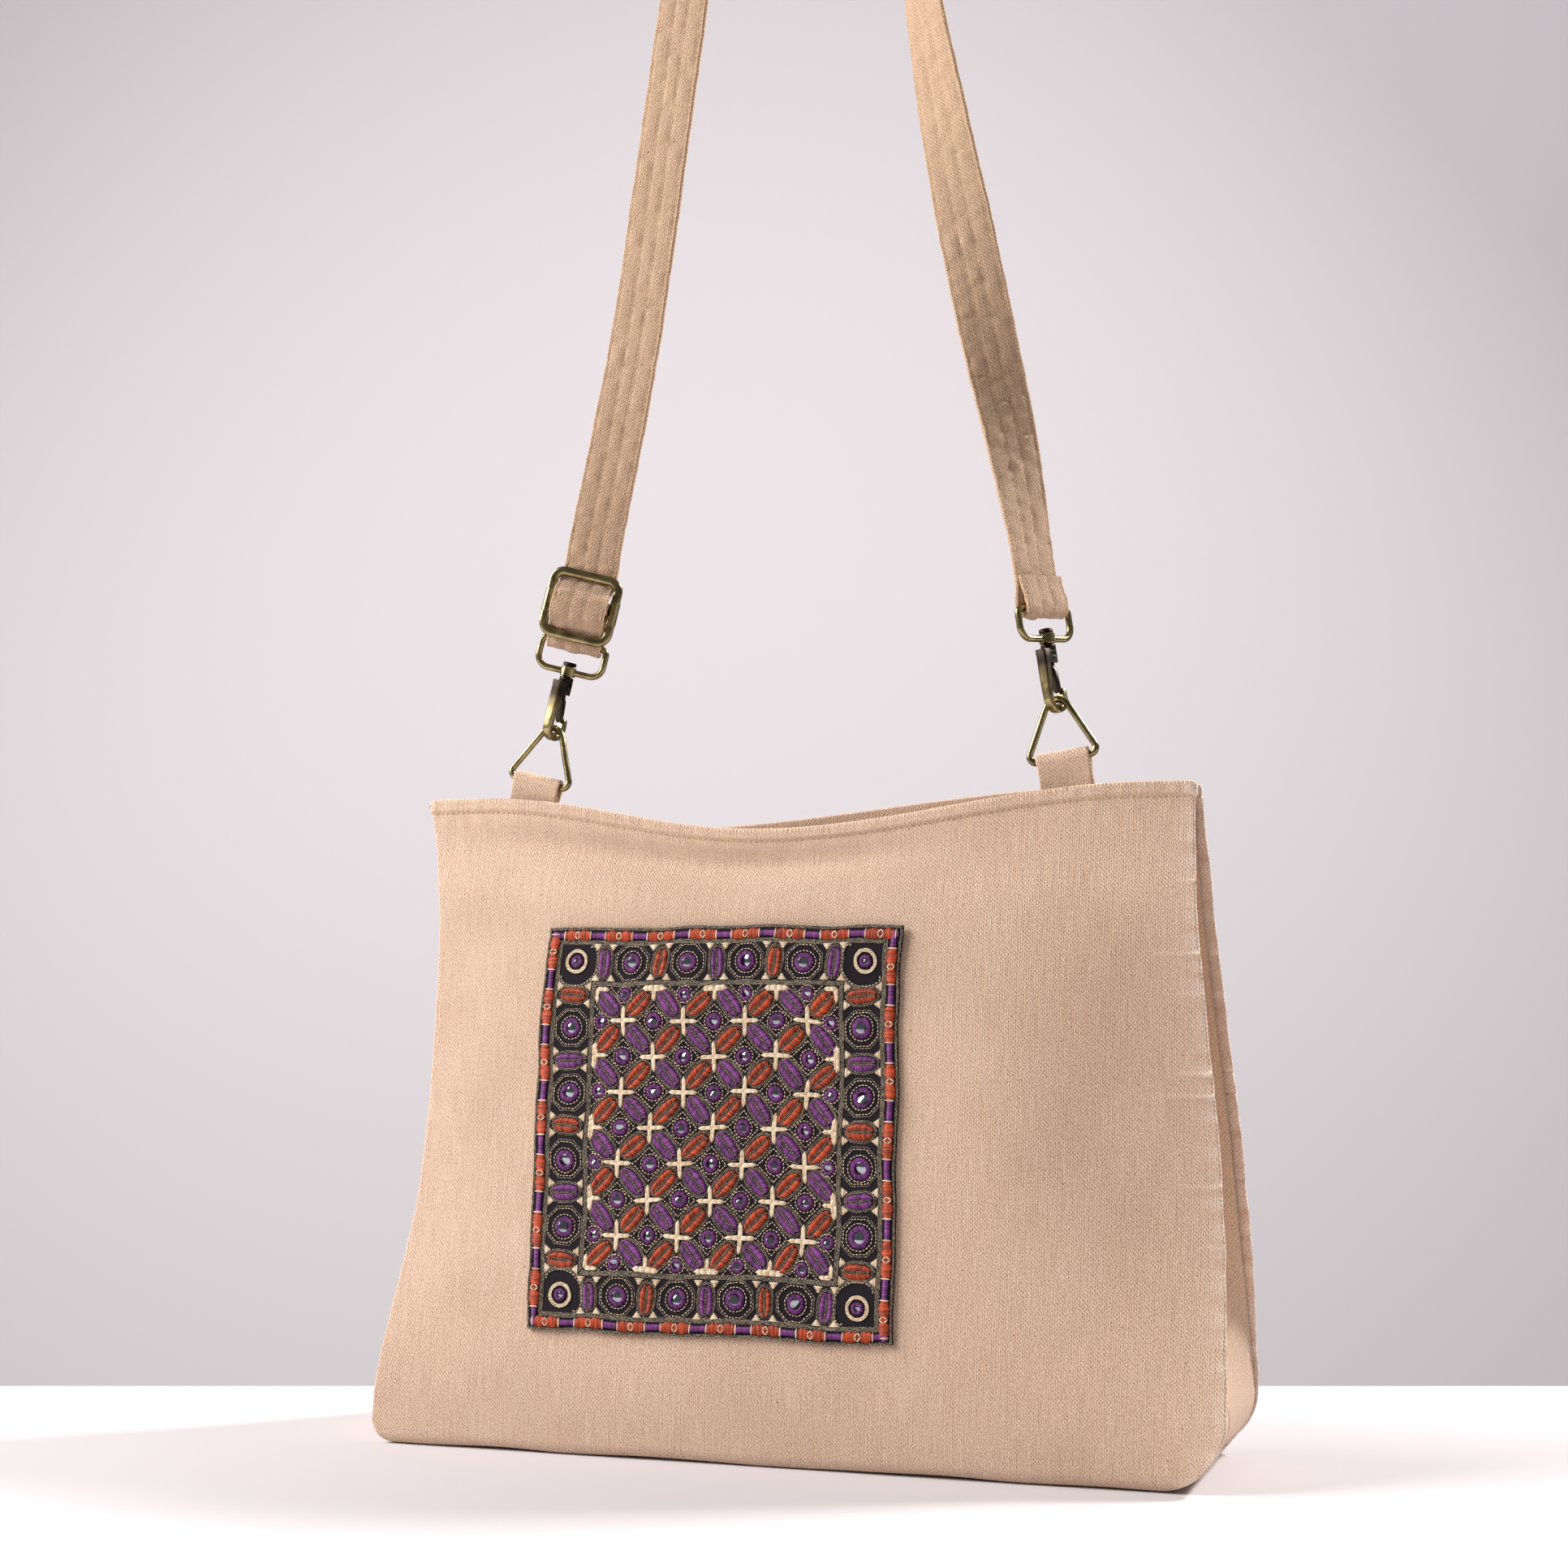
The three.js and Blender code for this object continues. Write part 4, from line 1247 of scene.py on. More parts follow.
    def strip(self, side: Side) -> Skin:
        """Builds a side strip, folded inward like a paper bag's.

        Args:
            side: Which end of the bag.
        Returns:
            The strip's skin.
        """
        form = self.form
        x, z, in_x, in_z = self.strip_places(side, self.seam_angle, 0)
        steps = np.linspace(0, 1, 16)
        bend = np.sin(math.pi * steps)
        tip_angle = np.linspace(math.pi / 2, -math.pi / 2, 9)[1:-1]
        sections = []
        cloths = []
        for k, height in enumerate(z):
            wall = form.hem if height > form.hem_foot else form.cloth
            reach = form.column("depth", height) / 2 - form.tuck(height) - wall - form.gap
            depth = form.column("fold", height)
            half = reach - form.cloth / 2 * depth / math.hypot(depth, reach)
            tip = min(self.fold_tip, depth / 2)
            across = half + (tip - half) * steps + bend * min(half, 14) * 0.16
            inward = (depth - tip) * steps + 0.35 * wander(height + 31 * steps, 12, 50 + side.value) * bend
            middle_in = (depth - tip) + tip * np.cos(tip_angle)
            middle_y = tip * np.sin(tip_angle)
            line = np.stack((
                np.concatenate((inward, middle_in, inward[::-1])),
                np.concatenate((across, middle_y, -across[::-1])),
            ), -1)
            along = unit(np.gradient(line, axis=0))
            away = np.stack((-along[:, 1], along[:, 0]), -1)
            thick = form.cloth * (0.08 + 0.92 * rounded(form.rim_height - height, 0.9))
            faces = [line + away * offset * thick / 2 for offset in (-1, 1)]
            loop = np.concatenate((faces[0], faces[1][::-1]))
            sunk = loop[:, 0] + form.cloth / 2
            sections.append(np.stack((x[k] + in_x[k] * sunk, loop[:, 1], z[k] + in_z[k] * sunk), -1))
            run = lengths(line)
            flat = np.stack((run - run.mean(), np.full(len(run), height - form.rim_height)), -1)
            cloths.append(np.concatenate((flat, flat[::-1] + np.array((200.0, 0.0)))))
        return Skin().loft(np.stack(sections), np.stack(cloths))

    def base(self) -> Skin:
        """Builds the base, turned up at both ends to meet the side strips.

        Returns:
            The base's skin.
        """
        form = self.form
        seam_angle = self.seam_angle + self.seam_gap
        left = self.strip_places(Side.LEFT, math.pi / 2, seam_angle)
        right = [part[::-1] for part in self.strip_places(Side.RIGHT, math.pi / 2, seam_angle)]
        flat_x = np.linspace(left[0][-1], right[0][0], 72)[1:-1]
        level = np.zeros_like(flat_x)
        x, z, in_x, in_z = (
            np.concatenate(parts)
            for parts in zip(left, (flat_x, level, level, np.ones_like(flat_x)), right)
        )
        across = np.linspace(-1, 1, 30)
        reach = (form.column("depth", z) / 2 - form.tuck(z) - form.cloth - form.gap)[:, None]
        y = reach * across
        soft = rounded((1 - np.abs(across)) * 46, 0.8)
        pinch = (1 - soft) * (form.cloth / 2 - self.edge_thin)
        run = lengths(np.stack((x, z), -1))
        flat = np.stack((y, np.broadcast_to(run[:, None], y.shape)), -1)

        def layer(sunk: Array) -> Array:
            """Gives the base's points at a depth into its cloth."""
            return np.stack((x[:, None] + in_x[:, None] * sunk, y, z[:, None] + in_z[:, None] * sunk), -1)

        lower, upper = (layer(np.broadcast_to(sunk, y.shape)) for sunk in (pinch, form.cloth - pinch))
        return Skin().sheet(lower, upper, flat, 300.0)

    def build(self) -> list[bpy.types.Object]:
        """Makes the five cloth pieces and fixes them to the root.

        Returns:
            The pieces.
        """
        material = self.finish.material()
        skins = {
            "front_panel": self.wall(Face.FRONT),
            "back_panel": self.wall(Face.BACK),
            "gusset_left": self.strip(Side.LEFT),
            "gusset_right": self.strip(Side.RIGHT),
            "base_panel": self.base(),
        }
        pieces = [
            self.cuts[name].declare(settle(skin.shape(f"{name}_cloth", material), "root", Slot.TWILL, name))
            for name, skin in skins.items()
        ]
        for piece, face in zip(pieces, (Face.FRONT, Face.BACK)):
            self.paint_wear_and_highlight(piece.data, face)
        seams = [self.hem_seam(face) for face in Face] + [self.edge_seam(face) for face in Face]
        stitches = Stitcher(arch=0.5, flatness=0.8).lay("hem_stitches", seams, self.thread.material())
        return [*pieces, settle(stitches, "root", Slot.TWILL)]


# Strap, tabs and their hardware


def moved(points: Array, matrix: Matrix) -> Array:
    """Places points of a nested frame in the bag's frame."""
    grid = np.array(matrix)
    return points @ grid[:3, :3].T + grid[:3, 3]


def oval(count: int, half_width: float, half_height: float, power: float = 2.0) -> Array:
    """Gives a closed section, round at power 2 and squarer above it."""
    angle = (np.arange(count) + 0.5) / count * TURN
    spots = np.stack((np.cos(angle), np.sin(angle)), -1)
    return np.sign(spots) * np.abs(spots) ** (2 / power) * np.array((half_width, half_height))


def smooth_route(keys: Array, step: float) -> Array:
    """Draws one smooth curve through key rows, which may carry more numbers than a place.

    Args:
        keys: Key rows, the first three numbers of each being a place.
        step: The longest step wanted along the curve.
    Returns:
        Rows along the curve.
    """
    padded = np.concatenate((2 * keys[:1] - keys[1:2], keys, 2 * keys[-1:] - keys[-2:-1]))
    spans = np.linalg.norm(np.diff(padded[:, :3], axis=0), axis=1)
    gaps = np.sqrt(np.maximum(spans, 1e-6))[:, None]
    slope = np.diff(padded, axis=0) / gaps
    lean = (slope[:-1] * gaps[1:] + slope[1:] * gaps[:-1]) / (gaps[:-1] + gaps[1:])
    rows = []
    for k in range(len(keys) - 1):
        count = max(int(math.ceil(spans[k + 1] / step)), 1)
        t = (np.arange(count) / count)[:, None]
        gap = gaps[k + 1]
        rows.append(
            (2 * t**3 - 3 * t**2 + 1) * keys[k]
            + (t**3 - 2 * t**2 + t) * gap * lean[k]
            + (3 * t**2 - 2 * t**3) * keys[k + 1]
            + (t**3 - t**2) * gap * lean[k + 1]
        )
    rows.append(keys[-1:])
    return np.concatenate(rows)


class Ribbon(NamedTuple):
    """A flat strip's rows: place, the ways along, across and off its face, and the length run so far."""

    place: Array
    along: Array
    across: Array
    off: Array
    run: Array

    @classmethod
    def through(cls, keys: Array, step: float) -> "Ribbon":
        """Makes the rows of a smooth strip.

        Args:
            keys: Key rows of a place and the way across the strip.
            step: The longest step wanted along it.
        Returns:
            The strip's rows.
        """
        rows = smooth_route(keys, step)
        place = rows[:, :3]
        along = unit(np.gradient(place, axis=0))
        across = unit(rows[:, 3:] - along * (rows[:, 3:] * along).sum(-1, keepdims=True))
        return cls(place, along, across, np.cross(along, across), lengths(place))

    def point(self, side: Array, out: Array) -> Array:
        """Gives points at distances across the strip and off its face."""
        aside = self.across[:, None] * side[..., None]
        return self.place[:, None] + aside + self.off[:, None] * out[..., None]

    def flat(self, side: Array) -> Array:
        """Gives the strip's places on its flat cloth, rows by columns by 2."""
        return np.stack(np.broadcast_arrays(side[None, :], self.run[:, None]), -1)


@dataclass(frozen=True)
class SideHang:
    """How one end of the strap hangs from the bag, as nested frames."""

    side: Side
    x: float
    z: float
    lean: float
    eye_turn: float
    hook_turn: float
    tab_y: float = -5.5
    ring_base: float = 33.0
    ring_height: float = 33.5
    ring_bend: float = 3.0
    apex_bend: float = 5.5
    tilt_back: float = 6.0
    drop: float = 27.0

    @property
    def name(self) -> str:
        """Gives the side's plain name."""
        return self.side.name.lower()

    @property
    def ring_reach(self) -> float:
        """Gives the height of the ring's bent apex above its base bar."""
        half = math.atan(self.ring_base / 2 / self.ring_height)
        return self.ring_height - self.apex_bend * (1 / math.sin(half) - 1)

    @property
    def ring_back(self) -> float:
        """Gives how far the leaning ring's apex lies behind its base bar."""
        return self.ring_reach * math.sin(math.radians(self.tilt_back))

    def hang(self) -> Matrix:
        """Gives the frame of the ring's base bar."""
        lean = Matrix.Rotation(math.radians(self.lean), 4, "Y")
        return Matrix.Translation((self.x, self.tab_y, self.z)) @ lean

    def ring(self) -> Matrix:
        """Gives the frame of the leaning ring."""
        return self.hang() @ Matrix.Rotation(-math.radians(self.tilt_back), 4, "X")

    def swivel(self, turn: float) -> Matrix:
        """Gives the frame of the hook's swivel, turned about the hang line."""
        up = self.ring_reach * math.cos(math.radians(self.tilt_back)) + self.drop
        lift = Matrix.Translation((0, self.ring_back, up))
        return self.hang() @ lift @ Matrix.Rotation(math.radians(turn), 4, "Z")

    def strap_end(self) -> Matrix:
        """Gives the frame of the eye that the strap holds."""
        return self.swivel(self.eye_turn)

    def hook(self) -> Matrix:
        """Gives the frame of the hook."""
        return self.swivel(self.hook_turn)


LEFT_HANG = SideHang(Side.LEFT, -128.5, 297, 14.5, 12, -13)
RIGHT_HANG = SideHang(Side.RIGHT, 119.5, 301, -8, 58, -25)
EYE_HEIGHT = 13.7
SLIDER_RISE = 30.5
SLIDER_FORWARD = 6.6


class LegRow(NamedTuple):
    """A place on a strap's leg, and how far the strap has turned about the upright there."""

    x: float
    z: float
    turn: float


class EndRow(NamedTuple):
    """A place on a strap's end, forward of the hang line and up from the eye's lower bar."""

    forward: float
    up: float


@dataclass
class Strap:
    """The sewn strap: a whole loop from the slider's bar, over its support, to the other eye."""

    finish: TwillFinish
    thread: ThreadFinish
    width: float = 25.5
    thick: float = 2.4
    step: float = 2.2
    edge_radius: float = 1.1
    narrow_lane: float = 3.0
    stitch_sink: float = 0.24
    wrap_radius: float = 3.3
    slider_run: float = 78.0
    spread: float = 0.03
    apex: tuple[float, float, float] = (-4.0, 905.0, 16.2)
    apex_turn: float = -90.0
    rows_of_stitches: tuple[float, ...] = (-11.2, -3.7, 3.1, 10.6)
    topstitch: SeamStitch = SeamStitch(2.6, 2.0, 0.42)
    cut: Cut = Cut(0.0255, 1.2, 0.0306, "hung", ("slider_bar", "swivel_eye_right"))
    left_leg: tuple[LegRow, ...] = (
        LegRow(-101.7, 408, 11), LegRow(-92.7, 450, 6), LegRow(-81.7, 506, 0),
        LegRow(-67.7, 600, -3), LegRow(-57.7, 668, -6), LegRow(-38.7, 790, -45),
    )
    right_leg: tuple[LegRow, ...] = (
        LegRow(36.3, 790, -74), LegRow(56.3, 655, -41), LegRow(67.3, 590, -18),
        LegRow(86.3, 493, 18), LegRow(97.3, 441, 38),
    )
    left_flap: tuple[EndRow, ...] = (EndRow(9.9, 29),)
    left_rise: tuple[EndRow, ...] = (EndRow(2.7, 27.5), EndRow(-0.6, 23), EndRow(-3.1, 18.5))
    left_front: tuple[EndRow, ...] = (
        EndRow(3.3, 17.2), EndRow(5.2, 20.2), EndRow(9, 23), EndRow(11.9, 26), EndRow(12.7, 29),
        EndRow(12.7, 32), EndRow(10.8, 36), EndRow(5.8, 40.5), EndRow(3.3, 44), EndRow(3.2, 48),
    )
    right_back: tuple[EndRow, ...] = (
        EndRow(-1.4, 40), EndRow(-1.4, 30), EndRow(-1.5, 24), EndRow(-2.8, 18.5),
    )
    right_flap: tuple[EndRow, ...] = (EndRow(2.8, 18.5), EndRow(1.5, 24), EndRow(1.4, 28))

    def wrap(self, forward: float, up: float, over: bool) -> tuple[EndRow, ...]:
        """Gives half a turn of strap round a bar.

        Args:
            forward: The bar's place forward of the hang line.
            up: Its height above the eye's lower bar.
            over: Whether the strap goes over the bar from front to back, or under it from back to front.
        Returns:
            The rows of the half turn.
        """
        angles = math.pi * (np.linspace(0, 1, 7) + (0 if over else 1))
        radius = self.wrap_radius
        return tuple(EndRow(forward + radius * math.cos(a), up + radius * math.sin(a)) for a in angles)

    def end_keys(self, rows: Sequence[EndRow], hang: SideHang) -> Array:
        """Places the rows of a strap's end in the bag's frame, with the way across."""
        matrix = hang.strap_end()
        places = moved(np.array([(0.0, -row.forward, row.up) for row in rows]), matrix)
        across = np.array(matrix)[:3, 0]
        return np.concatenate((places, np.broadcast_to(across, places.shape)), axis=1)

    def leg_keys(self, rows: Sequence[LegRow], y: float) -> Array:
        """Places the rows of a leg in the bag's frame, with the way across."""
        turns = [math.radians(row.turn) for row in rows]
        return np.array([
            (row.x, y, row.z, math.cos(turn), math.sin(turn), 0.0) for row, turn in zip(rows, turns)
        ])

    def ribbon(self) -> Ribbon:
        """Draws the strap's whole route.

        Returns:
            Its rows, from the flap at the slider to the flap at the right eye.
        """
        y = LEFT_HANG.tab_y + LEFT_HANG.ring_back
        over_bar = self.wrap(SLIDER_FORWARD, SLIDER_RISE, True)
        under_eye = self.wrap(0, EYE_HEIGHT, False)
        angles = np.radians(np.linspace(170, 10, 9))
        x, z, radius = self.apex
        top = [LegRow(x + radius * math.cos(a), z + radius * math.sin(a), self.apex_turn) for a in angles]
        left_end = (*self.left_flap, *over_bar, *self.left_rise, *under_eye, *self.left_front)
        keys = np.concatenate((
            self.end_keys(left_end, LEFT_HANG),
            self.leg_keys((*self.left_leg, *top, *self.right_leg), y),
            self.end_keys((*self.right_back, *under_eye, *self.right_flap), RIGHT_HANG),
        ))
        return Ribbon.through(keys, self.step)

    def columns(self) -> Array:
        """Gives the columns across the strap, close together at its edges and its rows of stitches."""
        half = self.width / 2
        edges = [side * (half - inset) for side in (-1, 1) for inset in (0.0, 0.12, 0.45, 1.0)]
        seams = [row + offset for row in self.rows_of_stitches for offset in (-0.8, 0.0, 0.8)]
        bounds = sorted((-half, *self.rows_of_stitches, half))
        lanes = [a + (b - a) * share for a, b in zip(bounds[1:-2], bounds[2:-1]) for share in (0.3, 0.5, 0.7)]
        return np.array(sorted(edges + seams + lanes))

    def relief(self, side: Array, run: Array, seed: int) -> Array:
        """Gives how far a face of the strap stands off its middle.

        Args:
            side: Columns across.
            run: Lengths along.
            seed: Picks this face's puckers.
        Returns:
            Heights, rows by columns.
        """
        half = self.width / 2
        plain = self.thick / 2 * rounded(half - np.abs(side), self.edge_radius)
        height = np.tile(plain, (len(run), 1))
        bounds = sorted((-half, *self.rows_of_stitches, half))
        for lane, (low, high) in enumerate(zip(bounds[:-1], bounds[1:])):
            across = np.clip((2 * side - low - high) / (high - low), -1, 1)
            wide = 1.0 if high - low > self.narrow_lane else 0.35
            puff = 0.1 + 0.46 * wander(run, 4.6, seed + lane) + 0.28 * wander(run, 15, seed + lane + 20)
            height += wide * puff[:, None] * (1 - across**2) * (np.abs(across) < 1)
        for row in self.rows_of_stitches:
            height -= self.stitch_sink * swell(side, row, 0.7)
        return height

    def build(self) -> list[bpy.types.Object]:
        """Makes the strap and its rows of stitches.

        Returns:
            The pieces.
        """
        ribbon = self.ribbon()
        side = self.columns()
        spread = self.spread / (1 + np.exp((ribbon.run - self.slider_run) / 3))
        uneven = 0.008 * wander(ribbon.run, 45, 71) + 0.008 * wander(ribbon.run, 11, 72)
        wide = side * (1 + spread + uneven)[:, None]
        upper = self.relief(side, ribbon.run, 80)
        lower = self.relief(side, ribbon.run, 120)
        faces = (ribbon.point(wide, upper), ribbon.point(wide, -lower))
        skin = Skin().sheet(*faces, ribbon.flat(side), 60.0)
        strap = settle(skin.shape("strap_cloth", self.finish.material()), "root", Slot.TWILL, "strap")
        self.cut.declare(strap)
        lines = []
        for number, row in enumerate(self.rows_of_stitches):
            column = int(np.argmin(np.abs(side - row)))
            for face, out in ((faces[0], ribbon.off), (faces[1], -ribbon.off)):
                lines.append(seam_line(face[:, column], out, self.topstitch, 200 + number))
        stitches = Stitcher(sides=4, rings=3).lay("strap_topstitch", lines, self.thread.material())
        return [strap, settle(stitches, "root", Slot.TWILL)]


@dataclass
class Tab:
    """A short doubled cloth loop that holds a ring to the front hem."""

    hang: SideHang
    material: bpy.types.Material
    width: float = 23.5
    thick: float = 1.6
    leg: float = 0.85
    bottom: float = 24.0
    waist: float = 7.0
    loop: float = 2.9
    step: float = 0.8

    def build(self) -> bpy.types.Object:
        """Makes the tab.

        Returns:
            The piece.
        """
        angles = np.linspace(math.pi, 0, 9)
        leg = self.leg
        rise = [(-leg, -self.bottom), (-leg, -self.bottom * 0.6), (-leg - 0.15, -self.waist - 2.5)]
        over = [(self.loop * math.cos(a), self.loop * math.sin(a)) for a in angles]
        side_view = rise + over + [(-y, z) for y, z in rise[::-1]]
        matrix = self.hang.hang()
        places = moved(np.array([(0.0, y, z) for y, z in side_view]), matrix)
        across = np.broadcast_to(np.array(matrix)[:3, 0], places.shape)
        ribbon = Ribbon.through(np.concatenate((places, across), axis=1), self.step)
        half = self.width / 2
        side = edged(half, (0.0, 0.08, 0.3, 0.8, 1.6), 2.6, 14)
        height = self.thick / 2 * rounded(half - np.abs(side), 0.8) + 0.03
        curl = 0.12 * wander(ribbon.run, 9, 300 + self.hang.side.value)[:, None]
        waves = curl * swell(np.abs(side), half, 4)
        wide = side + 0.12 * wander(ribbon.run, 13, 310)[:, None]
        faces = (ribbon.point(wide, waves + height), ribbon.point(wide, waves - height))
        skin = Skin().sheet(*faces, ribbon.flat(side), 60.0)
        name = f"tab_{self.hang.name}"
        cut = Cut(self.width * MILLIMETRE, 0.06, 0.0014, "folded", (f"triangle_ring_{self.hang.name}",))
        return cut.declare(settle(skin.shape(f"{name}_cloth", self.material), "root", Slot.TWILL, name))


class Corner(NamedTuple):
    """A corner of a bent wire, and the radius that it is bent to at mid wire."""

    x: float
    z: float
    bend: float


def bent_outline(corners: Sequence[Corner], steps: int = 12) -> Array:
    """Rounds the corners of a flat closed outline.

    Args:
        corners: The corners in order.
        steps: Points along each bend.
    Returns:
        Points of the outline, across and up.
    """
    points = []
    spots = np.array([(corner.x, corner.z) for corner in corners])
    for here, before, after, corner in zip(spots, np.roll(spots, 1, 0), np.roll(spots, -1, 0), corners):
        back = unit(before - here)
        ahead = unit(after - here)
        half = math.acos(float(np.clip(back @ ahead, -1, 1))) / 2
        centre = here + unit(back + ahead) * corner.bend / math.sin(half)
        first = here + back * corner.bend / math.tan(half) - centre
        last = here + ahead * corner.bend / math.tan(half) - centre
        start = math.atan2(first[1], first[0])
        sweep = math.atan2(first[0] * last[1] - first[1] * last[0], float(first @ last))
        angles = start + sweep * np.linspace(0, 1, steps)
        points.append(centre + corner.bend * np.stack((np.cos(angles), np.sin(angles)), -1))
    return np.concatenate(points)


def wire_loop(outline: Array, section: Array) -> Array:
    """Carries a section round a flat outline in the upright plane.

    Args:
        outline: Points across and up.
        section: Points in the plane and across it.
    Returns:
        Sections by points by 3.
    """
    back = unit(outline - np.roll(outline, 1, 0))
    ahead = unit(np.roll(outline, -1, 0) - outline)
    along = unit(back + ahead)
    mitre = 1 / (along * ahead).sum(-1)
    outward = np.stack((-along[:, 1], along[:, 0]), -1)
    flat = outline[:, None] + outward[:, None] * (section[None, :, :1] * mitre[:, None, None])
    deep = np.broadcast_to(section[None, :, 1], flat.shape[:2])
    return np.stack((flat[..., 0], deep, flat[..., 1]), -1)


def turned_post(profile: Profile, sides: int = 28) -> Array:
    """Turns a profile of radius and height about the upright, from one end to the other."""
    circle = oval(sides, 1.0, 1.0)
    return np.array([[(radius * x, radius * y, z) for x, y in circle] for radius, z in profile])


def sleeve(bore: float, radius: float, half: float, sides: int = 28) -> Array:
    """Gives a short tube about the upright, as sections round it."""
    soft = 0.18
    profile = np.array([
        (bore, -half), (radius - soft, -half), (radius, -half + soft),
        (radius, half - soft), (radius - soft, half), (bore, half),
    ])
    radii, heights = profile.T
    angles = np.arange(sides) / sides * TURN
    return np.stack([np.stack((radii * math.cos(a), radii * math.sin(a), heights), -1) for a in angles])


def fused(
    name: str,
    material: bpy.types.Material,
    whole: Sequence[Skin],
    cut: Sequence[Skin] = (),
    bevel: float = 0.16,
) -> bpy.types.Object:
    """Joins closed skins into one solid, cuts others from it and softens its sharp edges.

    Args:
        name: The piece's name.
        material: Its finish.
        whole: The skins that are joined.
        cut: The skins that are cut away.
        bevel: How wide the softened edges are.
    Returns:
        The piece.
    """
    made = whole[0].shape(name, material)
    tools = []
    for operation, skins in (("UNION", whole[1:]), ("DIFFERENCE", cut)):
        for skin in skins:
            tool = skin.shape(f"{name}_tool", material)
            modifier = made.modifiers.new("joint", "BOOLEAN")
            modifier.operation = operation
            modifier.solver = "EXACT"
            modifier.object = tool
            tools.append(tool)
    finished = made.evaluated_get(bpy.context.evaluated_depsgraph_get())
    mesh = bpy.data.meshes.new_from_object(finished)
    made.modifiers.clear()
    made.data = mesh
    for tool in tools:
        bpy.data.objects.remove(tool)
    smoothed(mesh)
    if bevel:
        edge = made.modifiers.new("soft_edges", "BEVEL")
        edge.width = bevel * MILLIMETRE
        edge.segments = 2
        edge.limit_method = "ANGLE"
        edge.angle_limit = SHARP_ANGLE
        edge.use_clamp_overlap = True
    return made


class BarRow(NamedTuple):
    """A section of the hook's bar in its side view: its place, half width and half depth."""

    y: float
    z: float
    half_wide: float
    half_deep: float


